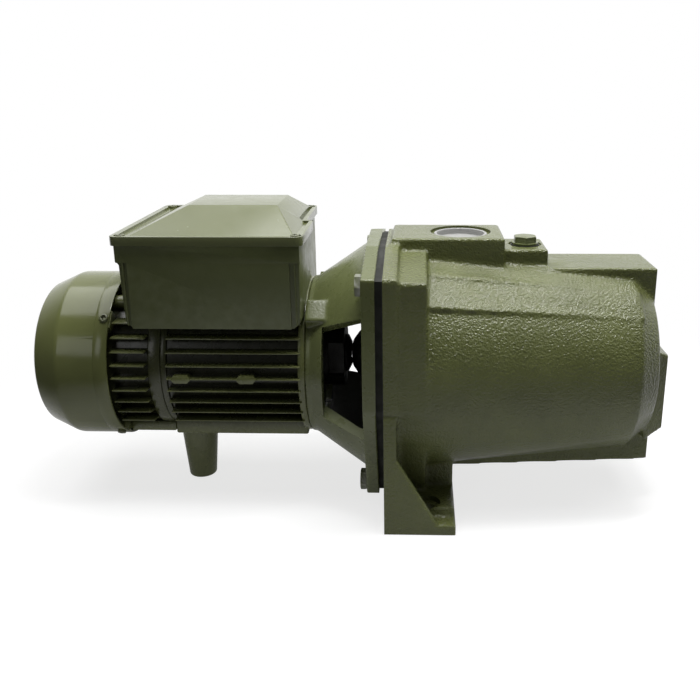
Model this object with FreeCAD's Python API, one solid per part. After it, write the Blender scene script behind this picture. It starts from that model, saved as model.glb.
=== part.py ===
import FreeCAD, Part
import math
import os

os.makedirs("parts", exist_ok=True)

V = FreeCAD.Vector
X_AXIS = V(1, 0, 0)
Y_AXIS = V(0, 1, 0)
Z_AXIS = V(0, 0, 1)

# Frame: millimetres. The origin lies on the ground, midway between the two bolt holes of the
# pump foot. +X runs along the shaft from the motor to the suction port, +Z is up.

# ---- Driving dimensions ----------------------------------------------------------------------
SHAFT_Z = 129.0            # height of the shaft axis above the ground
CLEAR = 0.02               # radial clearance of a turning fit

# Stations along the shaft, from the fan end to the suction port
COVER_END = -353.0
COVER_BEVEL = -329.0
COVER_RIM = -283.0
SHIELD_START = -296.0
SHIELD_FINS_END = -246.0
FRAME_START = -239.0
FINS_END = -115.0
FRAME_END = -109.0
LANTERN_RING = -93.3        # windows open from here to the flange
LANTERN_FLANGE = -56.5
PLATE_START = -45.0
GASKET_START = -39.5
BODY_START = -38.5
NECK_START = -26.3
BARREL_START = -2.0
BARREL_END = 182.0
END_FACE = 201.0
SUCTION_FACE = 218.0

# Motor shell
COVER_R = 78.0
COVER_END_R = 67.0
COVER_WALL = 1.5
FRAME_BORE = 60.0
FRAME_WALL_R = 65.0
FIN_TIP_R = 75.0
FIN_PITCH = 11.6
FIN_THICK = 2.4
FIN_COUNT_EACH_WAY = 4
TIE_RADIUS = 68.0
TIE_ROD_R = 3.0
TIE_ANGLES = (60, 120, 248, 292)
TIE_HEAD_X = -286.0

# Terminal box
BOX_X = (-264.0, -108.5)
BOX_HALF_Y = 80.5
BOX_Z = (177.7, 251.0)
BOX_WALL = 3.0
BOX_STEP_X = -116.0         # the far half of the pump-side wall stands back to here
BOX_STEP_Y = -3.5
RIM_X = (-266.0, -105.7)
RIM_HALF_Y = 83.4
RIM_TOP = 258.3
RIM_STEP_X = -112.8
LID_TOP = 277.0
LID_FLAT_X = (-215.0, -135.0)
LID_FLAT_HALF_Y = 30.0

# Bearings, 6204 size at both ends
BRG_BORE_R = 10.0
BRG_OUTER_R = 23.5
BRG_WIDTH = 14.0
BALL_R = 3.97
BALL_PITCH_R = 16.75
BALL_COUNT = 8
REAR_BRG = -264.0
FRONT_BRG = -107.0

# Stator and rotor
CORE_X = (-214.0, -132.0)
CORE_BORE = 38.0
ROTOR_R = 37.6
SLOT_COUNT = 24
BAR_COUNT = 18
ROTOR_SEAT_R = 14.0

# Flanges and casing, outlines given as half width and height above the shaft axis
WINDOW_TOP_ANGLE = 34.6
WINDOW_LOW_ANGLES = ((-1, -25.7), (1, -34.6))
FLANGE_HALF_Y = 110.0
FLANGE_TOP = 113.0
FLANGE_TOP_HALF_Y = 40.0
FLANGE_SHOULDER = 100.0
FLANGE_KNEE = -15.0
FLANGE_BOTTOM = -115.0
FLANGE_BOTTOM_HALF_Y = 66.0
FLANGE_BOLTS = ((84.0, 89.0), (57.0, -104.5))
BOLT_HEAD_THICK = 5.0
WASHER_THICK = 1.0
WASHER_R = 9.5
BOLT_R = 5.0
BARREL_R = 105.0
BARREL_SMALL_R = 86.0
END_FACE_R = 70.0
CASING_WALL = 7.0
DISCHARGE_X = 28.7
PORT_TOP = 247.6
PORT_X = (-37.6, 66.3)
PORT_HALF_Y = 34.6
THREAD_R = 22.42           # G 1 1/2 inside thread, minor radius
THREAD_LENGTH = 20.0
PORT_RECESS_R = 27.6
PORT_RECESS_DEEP = 2.5
PORT_LEAD_R = 24.4          # plain bore above the discharge thread
PORT_LEAD_DEEP = 9.0
FILL_X = 88.0
FILL_TOP = 236.0
SUCTION_Z = 102.0
FOOT_HALF_Y = 112.7
FOOT_X = (-38.5, 24.0)
FOOT_PAD = 9.0
LEDGE_HALF_Y = 96.0
LEDGE_TOP = 17.0
WEB_THICK = 7.0
FOOT_HOLE_Y = 85.0
FOOT_HOLE_R = 6.0

# Hydraulics
IMPELLER_R = 64.0
EYE_R = 20.0
SEAL_SHAFT_R = 8.0
IMPELLER_SHAFT_R = 7.0
VANE_COUNT = 7
GUIDE_COUNT = 8


# ---- Shape helpers ---------------------------------------------------------------------------
def rod(x0, x1, radius, y=0.0, z=SHAFT_Z):
    """Cylinder along X."""
    return Part.makeCylinder(radius, x1 - x0, V(x0, y, z), X_AXIS)


def tube(x0, x1, outer, inner, y=0.0, z=SHAFT_Z):
    return rod(x0, x1, outer, y, z).cut(rod(x0 - 1, x1 + 1, inner, y, z))


def post(z0, z1, radius, x, y):
    """Cylinder along Z."""
    return Part.makeCylinder(radius, z1 - z0, V(x, y, z0), Z_AXIS)


def block(x0, x1, y0, y1, z0, z1):
    return Part.makeBox(x1 - x0, y1 - y0, z1 - z0, V(x0, y0, z0))


def face_of(points):
    return Part.Face(Part.makePolygon(points + points[:1]))


def turned(profile, y=0.0, z=SHAFT_Z):
    """Solid turned about an axis along X, from a closed outline of (x, radius)."""
    outline = face_of([V(x, y, z + radius) for x, radius in profile])
    return outline.revolve(V(0, y, z), X_AXIS, 360)


def prism_x(outline, x0, x1):
    """Outline of (y, height above the shaft axis), extruded along X."""
    return face_of([V(x0, y, SHAFT_Z + h) for y, h in outline]).extrude(V(x1 - x0, 0, 0))


def prism_y(outline, y0, y1):
    """Outline of (x, z), extruded along Y."""
    return face_of([V(x, y0, z) for x, z in outline]).extrude(V(0, y1 - y0, 0))


def hexagon(centre, across, height, direction):
    """Hexagonal prism with its base on centre, standing along direction."""
    radius = across / math.sqrt(3)
    corners = [V(radius * math.cos(math.radians(60 * i)), radius * math.sin(math.radians(60 * i)), 0)
               for i in range(6)]
    solid = face_of(corners).extrude(V(0, 0, height))
    solid.Placement = FreeCAD.Placement(centre, FreeCAD.Rotation(Z_AXIS, direction))
    return solid


def frustum(x0, x1, rect0, rect1):
    """Solid between two upright rectangles (y0, y1, z0, z1) that stand at x0 and x1."""
    wires = []
    for x, (y0, y1, z0, z1) in ((x0, rect0), (x1, rect1)):
        points = [V(x, y0, z0), V(x, y1, z0), V(x, y1, z1), V(x, y0, z1)]
        wires.append(Part.makePolygon(points + points[:1]))
    return Part.makeLoft(wires, True, True)


def fuse(shapes):
    result = shapes[0]
    for shape in shapes[1:]:
        result = result.fuse(shape)
    return result.removeSplitter()


def cut_all(shape, tools):
    for tool in tools:
        shape = shape.cut(tool)
    return shape


def around(shape, angle):
    """Copy of a shape, turned about the shaft axis by an angle in degrees."""
    copy = shape.copy()
    copy.rotate(V(0, 0, SHAFT_Z), X_AXIS, angle)
    return copy


def mirror_pair(points):
    """Closed outline from the points of its +Y side, listed from top to bottom."""
    return points + [(-y, h) for y, h in reversed(points)]


def save(node, shape):
    solids = shape.Solids
    whole = solids[0] if len(solids) == 1 else Part.makeCompound(solids)
    if not whole.isValid():
        print("NOT VALID", node)
    whole.exportStep("parts/" + node + ".step")
    box = whole.BoundBox
    print("%-24s solids %3d  x %7.1f %7.1f  y %7.1f %7.1f  z %6.1f %6.1f" % (
        node, len(solids), box.XMin, box.XMax, box.YMin, box.YMax, box.ZMin, box.ZMax))


# ---- Fan end -----------------------------------------------------------------------------------
SCREW_ANGLES = (41, 139, 234, 306)
SCREW_X = -287.5
COVER_LUG_R = 76.3


def fan_cover():
    """Drawn cup over the fan, with ring slots in its end for the air."""
    outside = [(COVER_RIM, 0), (COVER_RIM, COVER_R), (COVER_BEVEL, COVER_R),
               (COVER_END, COVER_END_R), (COVER_END, 0)]
    inside = [(COVER_RIM + 1, 0), (COVER_RIM + 1, COVER_R - COVER_WALL),
              (COVER_BEVEL + 0.5, COVER_R - COVER_WALL),
              (COVER_END + COVER_WALL, COVER_END_R - COVER_WALL), (COVER_END + COVER_WALL, 0)]
    shell = turned(outside).cut(turned(inside))
    spoke_half = 2.5
    spokes = [around(block(COVER_END - 1, COVER_END + 4, -COVER_R, COVER_R,
                           SHAFT_Z - spoke_half, SHAFT_Z + spoke_half), angle)
              for angle in (0, 45, 90, 135)]
    web = fuse(spokes)
    for inner in (16.0, 26.0, 36.0, 46.0, 56.0):
        slot = tube(COVER_END - 0.5, COVER_END + 3, inner + 6.0, inner).cut(web)
        shell = shell.cut(slot)
    for angle in SCREW_ANGLES:
        hole = Part.makeCylinder(2.2, 8, V(SCREW_X, 0, SHAFT_Z + COVER_R - 4), Z_AXIS)
        shell = shell.cut(around(hole, angle - 90))
    return shell


def cover_screw(angle):
    """M4 pan head screw, standing radially."""
    shank = Part.makeCylinder(2.0, 10.0, V(SCREW_X, 0, SHAFT_Z + COVER_R - 10), Z_AXIS)
    head = Part.makeCylinder(3.9, 2.2, V(SCREW_X, 0, SHAFT_Z + COVER_R), Z_AXIS)
    return around(shank.fuse(head), angle - 90)


def cooling_fan():
    hub = tube(-337, -313, 14.0, 8.5)
    disc = tube(-316, -313.5, 62.0, 13.0)
    blades = [around(block(-336, -315, -1.0, 1.0, SHAFT_Z + 13, SHAFT_Z + 61), 45 * i) for i in range(8)]
    return fuse([hub, disc] + blades)


def rear_end_shield():
    """Cast cap that closes the frame and carries the rear bearing."""
    shell = tube(-290, FRAME_START, FRAME_WALL_R, FRAME_BORE - 2)
    spigot = tube(FRAME_START - 1, FRAME_START + 5, FRAME_BORE - 0.05, 56.0)
    wall = rod(-272, -266, 63.0)
    hub = rod(-268, -249, 30.0)
    collar = turned([(-247, 60), (-247, 71), (-245, FIN_TIP_R), (-241, FIN_TIP_R), (-239, 71), (-239, 60)])
    fins = []
    for side in (-1, 1):
        for i in range(-FIN_COUNT_EACH_WAY, FIN_COUNT_EACH_WAY + 1):
            height = SHAFT_Z + FIN_PITCH * i
            fins.append(block(-281.5, SHIELD_FINS_END, min(0, side * 80), max(0, side * 80),
                              height - FIN_THICK / 2, height + FIN_THICK / 2))
    rim = tube(-282, SHIELD_FINS_END, FIN_TIP_R, FRAME_WALL_R - 1)
    finned = fuse([rim.common(fin) for fin in fins])
    lugs = [around(block(SHIELD_START, -282, -8, 8, SHAFT_Z + 50, SHAFT_Z + 80), angle - 90)
            for angle in SCREW_ANGLES]
    lug_ring = tube(SHIELD_START, -282, COVER_LUG_R, FRAME_BORE)
    lugs = [lug_ring.common(lug) for lug in lugs]
    ears = [around(rod(TIE_HEAD_X, FRAME_START, 6.5, 0, SHAFT_Z + TIE_RADIUS), angle - 90)
            for angle in TIE_ANGLES]
    pad = block(-281.5, FRAME_START, -PAD_HALF_Y, PAD_HALF_Y, REAR_PAD_Z, REAR_PAD_Z + 10)
    below = block(-300, FRAME_START + 1, -80, 80, 0, REAR_PAD_Z)
    pad = pad.cut(rod(-300, FRAME_START + 1, FRAME_BORE + 2))
    body = fuse([shell, spigot, wall, hub, collar, finned, pad] + lugs + ears).cut(below)
    body = body.cut(rod(-264.8, -248, BRG_OUTER_R)).cut(rod(-300, -248, 11.0))
    for angle in TIE_ANGLES:
        body = body.cut(around(rod(-300, -230, TIE_ROD_R + 0.3, 0, SHAFT_Z + TIE_RADIUS), angle - 90))
        body = body.cut(around(rod(-300, TIE_HEAD_X, 6.6, 0, SHAFT_Z + TIE_RADIUS), angle - 90))
    for angle in SCREW_ANGLES:
        hole = Part.makeCylinder(2.0, 20, V(SCREW_X, 0, SHAFT_Z + COVER_R - 10), Z_AXIS)
        body = body.cut(around(hole, angle - 90))
    return body


# ---- Ball bearings ------------------------------------------------------------------------------
def raceway(start, radius):
    return Part.makeTorus(BALL_PITCH_R, radius, V(start + BRG_WIDTH / 2, 0, SHAFT_Z), X_AXIS)


def bearing_outer(start):
    ring = tube(start, start + BRG_WIDTH, BRG_OUTER_R, 19.6)
    return ring.cut(raceway(start, BALL_R + CLEAR))


def bearing_inner(start):
    ring = tube(start, start + BRG_WIDTH, 13.9, BRG_BORE_R)
    return ring.cut(raceway(start, BALL_R + CLEAR))


def bearing_balls(start):
    ball = Part.makeSphere(BALL_R, V(start + BRG_WIDTH / 2, 0, SHAFT_Z + BALL_PITCH_R))
    return Part.makeCompound([around(ball, 360 / BALL_COUNT * i) for i in range(BALL_COUNT)])


def bearing_cage(start):
    ring = tube(start + 2.5, start + BRG_WIDTH - 2.5, 18.4, 15.2)
    pocket = Part.makeSphere(BALL_R + 0.1, V(start + BRG_WIDTH / 2, 0, SHAFT_Z + BALL_PITCH_R))
    return cut_all(ring, [around(pocket, 360 / BALL_COUNT * i) for i in range(BALL_COUNT)])


# ---- Motor --------------------------------------------------------------------------------------
PAD_END = -113.0
PAD_HALF_Y = 36.0
PAD_Z = (59.0, 68.0)
REAR_PAD_Z = 61.5
LEG_SCREW_X = -226.8


def motor_frame():
    """Cast tube with level cooling fins, a foot pad below and a cable neck above."""
    wall = rod(FRAME_START, FRAME_END, FRAME_WALL_R)
    envelope = rod(FRAME_START, FINS_END, FIN_TIP_R)
    parts = [wall]
    for i in range(-FIN_COUNT_EACH_WAY, FIN_COUNT_EACH_WAY + 1):
        height = SHAFT_Z + FIN_PITCH * i
        parts.append(envelope.common(block(FRAME_START, FINS_END, -80, 80,
                                           height - FIN_THICK / 2, height + FIN_THICK / 2)))
    front_collar = tube(FINS_END, FRAME_END, 70.0, FRAME_BORE)
    pad = block(FRAME_START, PAD_END, -PAD_HALF_Y, PAD_HALF_Y, PAD_Z[0], PAD_Z[1] + 6)
    neck = block(-205, -145, -32, 32, SHAFT_Z + 50, SHAFT_Z + 72)
    ears = [around(rod(FRAME_START, FRAME_END, 6.5, 0, SHAFT_Z + TIE_RADIUS), angle - 90)
            for angle in TIE_ANGLES]
    body = fuse(parts + [front_collar, pad, neck] + ears)
    body = body.cut(rod(FRAME_START - 1, FRAME_END + 1, FRAME_BORE))
    body = body.cut(block(-195, -155, -22, 22, SHAFT_Z + 40, SHAFT_Z + 80))
    for angle in TIE_ANGLES:
        body = body.cut(around(rod(-245, -100, TIE_ROD_R + 0.3, 0, SHAFT_Z + TIE_RADIUS), angle - 90))
    body = body.cut(post(PAD_Z[0] - 1, PAD_Z[0] + 9, 3.0, LEG_SCREW_X, 0))
    for x in (-195.0, -155.0):
        body = body.cut(post(SHAFT_Z + 66, SHAFT_Z + 73, 2.0, x, 27))
    return body


def motor_leg():
    """Hollow cast leg with a rounded plan, wider at the top than at the ground."""
    top = PAD_Z[0]
    sections = []
    for z, x0, x1, half in ((0.0, -240.0, -213.6, 12.5), (top, -244.8, -208.0, 15.5)):
        middle = (x0 + x1) / 2
        ellipse = Part.Ellipse(V(middle, 0, z), (x1 - x0) / 2, half)
        sections.append(Part.Wire([ellipse.toShape()]))
    leg = Part.makeLoft(sections, True, True)
    leg = leg.cut(post(-1, top - 12, 7.5, LEG_SCREW_X, 0))
    return leg.cut(post(0, top + 1, 3.3, LEG_SCREW_X, 0))


def leg_screw():
    top = PAD_Z[0]
    shank = post(top - 12, top + 8, 3.0, LEG_SCREW_X, 0)
    head = post(top - 18, top - 12, 5.0, LEG_SCREW_X, 0)
    return shank.fuse(head)


def slots(radius_in, radius_out, width, count, x0, x1):
    one = block(x0, x1, -width / 2, width / 2, SHAFT_Z + radius_in, SHAFT_Z + radius_out)
    return [around(one, 360 / count * i) for i in range(count)]


def stator_core():
    core = tube(CORE_X[0], CORE_X[1], FRAME_BORE - 0.05, CORE_BORE)
    return cut_all(core, slots(39.5, 53, 4.0, SLOT_COUNT, CORE_X[0] - 1, CORE_X[1] + 1))


def stator_windings():
    rear = turned([(-233, 42), (-231, 40), (-215, 40), (-214, 42), (-214, 53), (-231, 54), (-233, 52)])
    front = turned([(-132, 42), (-131, 40), (-117, 40), (-115, 42), (-115, 52), (-117, 54), (-132, 53)])
    bars = slots(39.6, 52.9, 3.9, SLOT_COUNT, CORE_X[0] - 1, CORE_X[1] + 1)
    return fuse([rear, front] + bars)


def rotor_bars(radius, x0, x1):
    one = rod(x0, x1, radius, 0, SHAFT_Z + 33.0)
    return [around(one, 360 / BAR_COUNT * i) for i in range(BAR_COUNT)]


def rotor_core():
    core = tube(CORE_X[0], CORE_X[1], ROTOR_R, ROTOR_SEAT_R)
    return cut_all(core, rotor_bars(2.6, CORE_X[0] - 1, CORE_X[1] + 1))


def rotor_cage():
    rear = tube(-222, CORE_X[0], 36.5, 24.0)
    front = tube(CORE_X[1], -124, 36.5, 24.0)
    return fuse([rear, front] + rotor_bars(2.6, CORE_X[0] - 1, CORE_X[1] + 1))


def shaft():
    """Stepped steel shaft from the fan seat to the impeller nut thread."""
    profile = [(-343, 0), (-343, 8), (-342.5, 8.5), (-266, 8.5), (-266, BRG_BORE_R),
               (REAR_BRG + BRG_WIDTH, BRG_BORE_R), (REAR_BRG + BRG_WIDTH, 12.5), (-224, 12.5),
               (-224, ROTOR_SEAT_R), (-122, ROTOR_SEAT_R), (-122, 12.5), (FRONT_BRG, 12.5),
               (FRONT_BRG, BRG_BORE_R), (-56, BRG_BORE_R), (-55, SEAL_SHAFT_R), (-33, SEAL_SHAFT_R),
               (-33, IMPELLER_SHAFT_R), (-12.5, IMPELLER_SHAFT_R), (-12.5, 5.0), (1, 5.0), (2, 4.0), (2, 0)]
    body = turned(profile)
    body = body.cut(tube(-338.3, -337.1, 9.0, 7.6))
    return body.cut(block(-31, -15, -2.5, 2.5, SHAFT_Z + 4.2, SHAFT_Z + 9))


def fan_clip():
    """Spring ring in the shaft's groove, outside the fan hub."""
    ring = tube(-338.2, -337.2, 11.0, 7.7)
    return ring.cut(block(-340, -336, -3, 3, SHAFT_Z + 5, SHAFT_Z + 14))


def preload_washer():
    """Wave washer behind the rear bearing, shown flat as it is when loaded."""
    return tube(-264.8, REAR_BRG, 23.3, 19.0)


def tie_rods():
    one = fuse([rod(TIE_HEAD_X, -97, TIE_ROD_R, 0, SHAFT_Z + TIE_RADIUS),
                hexagon(V(TIE_HEAD_X, 0, SHAFT_Z + TIE_RADIUS), 10.0, 4.0, V(-1, 0, 0))])
    return Part.makeCompound([around(one, angle - 90) for angle in TIE_ANGLES])


# ---- Terminal box -------------------------------------------------------------------------------
LID_SCREWS = ((-259.0, -75.5), (-112.5, -75.5), (-259.0, 75.5), (-120.0, 75.5))
GLAND_X = -240.0
GLAND_Z = 215.0
SADDLE_R = 75.4


def box_step(x, wall=0.0):
    """Space beside the far half of the pump-side wall."""
    return block(x, x + 20, BOX_STEP_Y - wall, 100, SHAFT_Z, LID_TOP + 1)


def terminal_box_base():
    """Deep tray that straddles the frame, open at the top."""
    x0, x1 = BOX_X
    chamfer = 7.0
    z0, z1 = BOX_Z
    outline = [(x0, z1), (x0, z0 + chamfer), (x0 + chamfer, z0),
               (x1 - chamfer, z0), (x1, z0 + chamfer), (x1, z1)]
    outer = prism_y(outline, -BOX_HALF_Y, BOX_HALF_Y).cut(box_step(BOX_STEP_X))
    inner = block(x0 + BOX_WALL, x1 - BOX_WALL, -BOX_HALF_Y + BOX_WALL, BOX_HALF_Y - BOX_WALL,
                  z0 + BOX_WALL + 4, z1 + 1).cut(box_step(BOX_STEP_X - BOX_WALL, BOX_WALL))
    saddle = rod(x0 - 5, x1 + 5, SADDLE_R + BOX_WALL)
    shell = outer.cut(inner.cut(saddle))
    posts = []
    for x, y in LID_SCREWS:
        wall_x = BOX_STEP_X if y > 0 else x1
        posts.append(block(max(x - 6, x0 + 1), min(x + 6, wall_x - 1), max(y - 6, -79.5), min(y + 6, 79.5),
                           z0 + 10, z1))
    shell = fuse([shell] + posts).cut(rod(x0 - 5, x1 + 5, SADDLE_R))
    shell = shell.cut(block(-205.2, -144.8, -32.2, 32.2, SHAFT_Z + 50, SHAFT_Z + 72))
    shell = shell.cut(block(-195, -155, -22, 22, SHAFT_Z + 60, SHAFT_Z + 90))
    for x, y in LID_SCREWS:
        shell = shell.cut(post(z1 - 14, z1 + 1, 2.0, x, y))
    hole = Part.makeCylinder(10.2, 12, V(GLAND_X, BOX_HALF_Y - 8, GLAND_Z), Y_AXIS)
    shell = shell.cut(hole)
    for x in (-195.0, -155.0):
        shell = shell.cut(post(SHAFT_Z + 66, SHAFT_Z + 84, 2.2, x, 27))
    return shell


def box_screws():
    screws = []
    for x in (-195.0, -155.0):
        seat = SHAFT_Z + SADDLE_R + BOX_WALL - 4.8
        screws.append(post(SHAFT_Z + 67, seat + 4, 1.95, x, 27).fuse(post(seat + 4, seat + 6.5, 3.8, x, 27)))
    return Part.makeCompound(screws)


def rounded_plate(x0, x1, half_y, z0, z1, radius):
    plate = block(x0, x1, -half_y, half_y, z0, z1)
    upright = [edge for edge in plate.Edges if abs(edge.tangentAt(edge.FirstParameter).z) > 0.9]
    return plate.makeFillet(radius, upright)


def terminal_box_gasket():
    z0, z1 = BOX_Z[1], BOX_Z[1] + 1.0
    ring = rounded_plate(BOX_X[0] + 0.5, BOX_X[1] - 0.5, BOX_HALF_Y - 0.5, z0, z1, 5.0)
    ring = ring.cut(block(BOX_X[0] + 12, BOX_X[1] - 12, -BOX_HALF_Y + 12, BOX_HALF_Y - 12, z0 - 1, z1 + 1))
    ring = ring.cut(box_step(BOX_STEP_X - 0.5))
    return cut_all(ring, [post(z0 - 1, z1 + 1, 2.2, x, y) for x, y in LID_SCREWS])


def lid_pyramid(drop, inset):
    """Raised part of the lid: straight slopes up to a flat that lies towards the pump."""
    base_z = RIM_TOP - 2.0 - drop
    x0, x1 = RIM_X[0] + 7 + inset, RIM_X[1] - 7 - inset
    half = RIM_HALF_Y - 7 - inset
    top_z = LID_TOP - drop
    low = [V(x0, -half, base_z), V(x1, -half, base_z), V(x1, half, base_z), V(x0, half, base_z)]
    fx0, fx1, fh = LID_FLAT_X[0] + inset, LID_FLAT_X[1] - inset, LID_FLAT_HALF_Y - inset / 2
    high = [V(fx0, -fh, top_z), V(fx1, -fh, top_z), V(fx1, fh, top_z), V(fx0, fh, top_z)]
    wires = [Part.makePolygon(ring + ring[:1]) for ring in (low, high)]
    return Part.makeLoft(wires, True, True)


def terminal_box_lid():
    z0 = BOX_Z[1] + 1.0
    plate = rounded_plate(RIM_X[0], RIM_X[1], RIM_HALF_Y, BOX_Z[1], RIM_TOP, 7.0)
    plate = plate.cut(block(RIM_X[0] + 1.8, RIM_X[1] - 1.8, -RIM_HALF_Y + 2.5, RIM_HALF_Y - 2.5,
                            BOX_Z[1] - 1, z0))
    body = plate.fuse(lid_pyramid(0.0, 0.0)).cut(box_step(RIM_STEP_X))
    hollow = fuse([lid_pyramid(3.0, 3.0), block(BOX_X[0] + 14, BOX_X[1] - 14, -66, 66, z0 - 1, RIM_TOP - 3)])
    body = body.cut(hollow)
    for x, y in LID_SCREWS:
        body = body.cut(post(BOX_Z[1] - 1, LID_TOP, 2.3, x, y)).cut(post(RIM_TOP - 1.5, LID_TOP, 5.0, x, y))
    return body


def lid_screws():
    seat = RIM_TOP - 1.5
    return Part.makeCompound([post(seat - 18, seat, 2.0, x, y).fuse(post(seat, seat + 2.3, 3.8, x, y))
                              for x, y in LID_SCREWS])


TERMINAL_Z = SHAFT_Z + SADDLE_R + BOX_WALL


def terminal_block():
    """Moulded insulating board with six posts in two rows."""
    board = block(-184, -128, -62, -30, TERMINAL_Z - 6, TERMINAL_Z + 4)
    ribs = [block(x, x + 2, -62, -30, TERMINAL_Z + 3, TERMINAL_Z + 12) for x in (-166.0, -148.0)]
    board = fuse([board] + ribs).cut(rod(-300, -100, SADDLE_R + BOX_WALL + 0.1))
    return cut_all(board, [post(TERMINAL_Z - 3, TERMINAL_Z + 5, 2.5, x, y) for x, y in stud_places()])


def stud_places():
    return [(x, y) for x in (-175.0, -157.0, -139.0) for y in (-54.0, -38.0)]


def terminal_studs():
    studs = []
    for x, y in stud_places():
        stud = post(TERMINAL_Z - 2, TERMINAL_Z + 15, 2.45, x, y)
        nut = hexagon(V(x, y, TERMINAL_Z + 4), 8.0, 4.0, Z_AXIS)
        studs.append(stud.fuse(nut))
    return Part.makeCompound(studs)


CAP_X = (-232.0, -136.0)
CAP_Y = 48.0
CAP_Z = 227.0


def capacitor():
    can = rod(CAP_X[0], CAP_X[1], 20.0, CAP_Y, CAP_Z)
    tabs = [block(CAP_X[1], CAP_X[1] + 8, CAP_Y + dy - 0.4, CAP_Y + dy + 0.4, CAP_Z - 3, CAP_Z + 3)
            for dy in (-8.0, 8.0)]
    return fuse([can] + tabs)


def capacitor_strap():
    band = tube(-190, -178, 21.2, 20.0, CAP_Y, CAP_Z)
    foot = block(-190, -178, CAP_Y + 20.4, 77.4, CAP_Z - 1, CAP_Z + 1)
    return fuse([band, foot])


def cable_gland():
    """Gland body outside the back wall, with a through hole for a cable."""
    centre = V(GLAND_X, BOX_HALF_Y, GLAND_Z)
    body = hexagon(centre, 22.0, 8.0, Y_AXIS)
    cap = Part.makeCylinder(11.0, 10.0, V(GLAND_X, BOX_HALF_Y + 8, GLAND_Z), Y_AXIS)
    stem = Part.makeCylinder(10.0, 12.0, V(GLAND_X, BOX_HALF_Y - 11, GLAND_Z), Y_AXIS)
    bore = Part.makeCylinder(5.0, 40.0, V(GLAND_X, BOX_HALF_Y - 12, GLAND_Z), Y_AXIS)
    return fuse([body, cap, stem]).cut(bore)


def gland_nut():
    nut = hexagon(V(GLAND_X, BOX_HALF_Y - BOX_WALL - 5, GLAND_Z), 22.0, 5.0, Y_AXIS)
    return nut.cut(Part.makeCylinder(10.0, 20.0, V(GLAND_X, BOX_HALF_Y - 14, GLAND_Z), Y_AXIS))


# ---- Lantern bracket ----------------------------------------------------------------------------
def flange_outline(inset, low_half_y=FLANGE_BOTTOM_HALF_Y):
    return mirror_pair([(FLANGE_TOP_HALF_Y, FLANGE_TOP - inset),
                        (FLANGE_HALF_Y - inset, FLANGE_SHOULDER - inset * 0.6),
                        (FLANGE_HALF_Y - inset, FLANGE_KNEE),
                        (low_half_y - inset, FLANGE_BOTTOM + inset)])


def bolt_places():
    return [(side * y, h) for y, h in FLANGE_BOLTS for side in (-1, 1)]


def lantern_bracket():
    """Casting that carries the front bearing and joins the motor to the pump."""
    ring = rod(FRAME_END, LANTERN_RING, FIN_TIP_R - 0.5)
    spigot = tube(FRAME_END - 4, FRAME_END + 1, FRAME_BORE - 0.05, 55.0)
    hub = rod(FRAME_END, -79, 31.0)
    cone = [(-104.5, 0), (-104.5, FIN_TIP_R), (LANTERN_FLANGE + 1, 108), (LANTERN_FLANGE + 1, 0)]
    inside = [(-105, 0), (-105, 68.5), (-96, 70), (LANTERN_FLANGE + 2, 100), (LANTERN_FLANGE + 2, 0)]
    reach = 150.0
    windows = []
    for side, low in WINDOW_LOW_ANGLES:
        window = [(0, 0), (side * reach, math.tan(math.radians(WINDOW_TOP_ANGLE)) * reach),
                  (side * reach, math.tan(math.radians(low)) * reach)]
        windows.append(prism_x(window, LANTERN_RING, LANTERN_FLANGE + 0.5))
    arms = cut_all(turned(cone).cut(turned(inside)), windows)
    flange = prism_x(flange_outline(0.0), LANTERN_FLANGE, PLATE_START).cut(rod(-60, -40, 90.0))
    body = fuse([ring, spigot, hub, arms, flange])
    body = body.cut(rod(FRONT_BRG, FRONT_BRG + BRG_WIDTH, BRG_OUTER_R))
    body = body.cut(rod(FRAME_END - 5, FRONT_BRG + 1, BRG_OUTER_R)).cut(rod(-120, -70, 12.0))
    body = body.cut(tube(-101, -93, 67.0, 34.0))
    for angle in TIE_ANGLES:
        body = body.cut(around(rod(-120, -97, TIE_ROD_R, 0, SHAFT_Z + TIE_RADIUS), angle - 90))
    for y, h in bolt_places():
        body = body.cut(rod(LANTERN_FLANGE - 9, PLATE_START + 1, BOLT_R + 0.5, y, SHAFT_Z + h))
        body = body.cut(rod(LANTERN_FLANGE - 14, LANTERN_FLANGE, 11.0, y, SHAFT_Z + h))
    return body


def water_slinger():
    """Rubber ring on the shaft that throws off drops."""
    return turned([(-78.6, 10), (-78.6, 18), (-76.5, 18), (-73.2, 11.5), (-73.2, 10)])


def seal_plate():
    """Disc clamped between the flanges, with a dome that holds the seal seat."""
    disc = prism_x(flange_outline(3.5), PLATE_START, GASKET_START)
    dome = turned([(PLATE_START + 1, 0), (PLATE_START + 1, 40), (PLATE_START, 40), (-48, 32), (-56.5, 28),
                   (-66, 21), (-71, 14), (-72, 12), (-72, 0)])
    spigot = tube(GASKET_START, BODY_START + 4, 91.8, 86.0)
    plate = fuse([disc, dome, spigot]).cut(rod(-75, -30, 10.4)).cut(rod(-60, -30, 17.0))
    for y, h in bolt_places():
        plate = plate.cut(rod(PLATE_START - 1, GASKET_START + 1, BOLT_R + 0.5, y, SHAFT_Z + h))
    return plate


def casing_gasket():
    ring = prism_x(flange_outline(3.5), GASKET_START, BODY_START).cut(rod(-42, -36, 92.5))
    for y, h in bolt_places():
        ring = ring.cut(rod(GASKET_START - 1, BODY_START + 1, BOLT_R + 0.5, y, SHAFT_Z + h))
    return ring


def flange_bolts():
    bolts = []
    for y, h in bolt_places():
        head = hexagon(V(LANTERN_FLANGE - WASHER_THICK, y, SHAFT_Z + h), 17.0, BOLT_HEAD_THICK, V(-1, 0, 0))
        bolts.append(rod(LANTERN_FLANGE - 2, -28, BOLT_R, y, SHAFT_Z + h).fuse(head))
    return Part.makeCompound(bolts)


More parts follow.
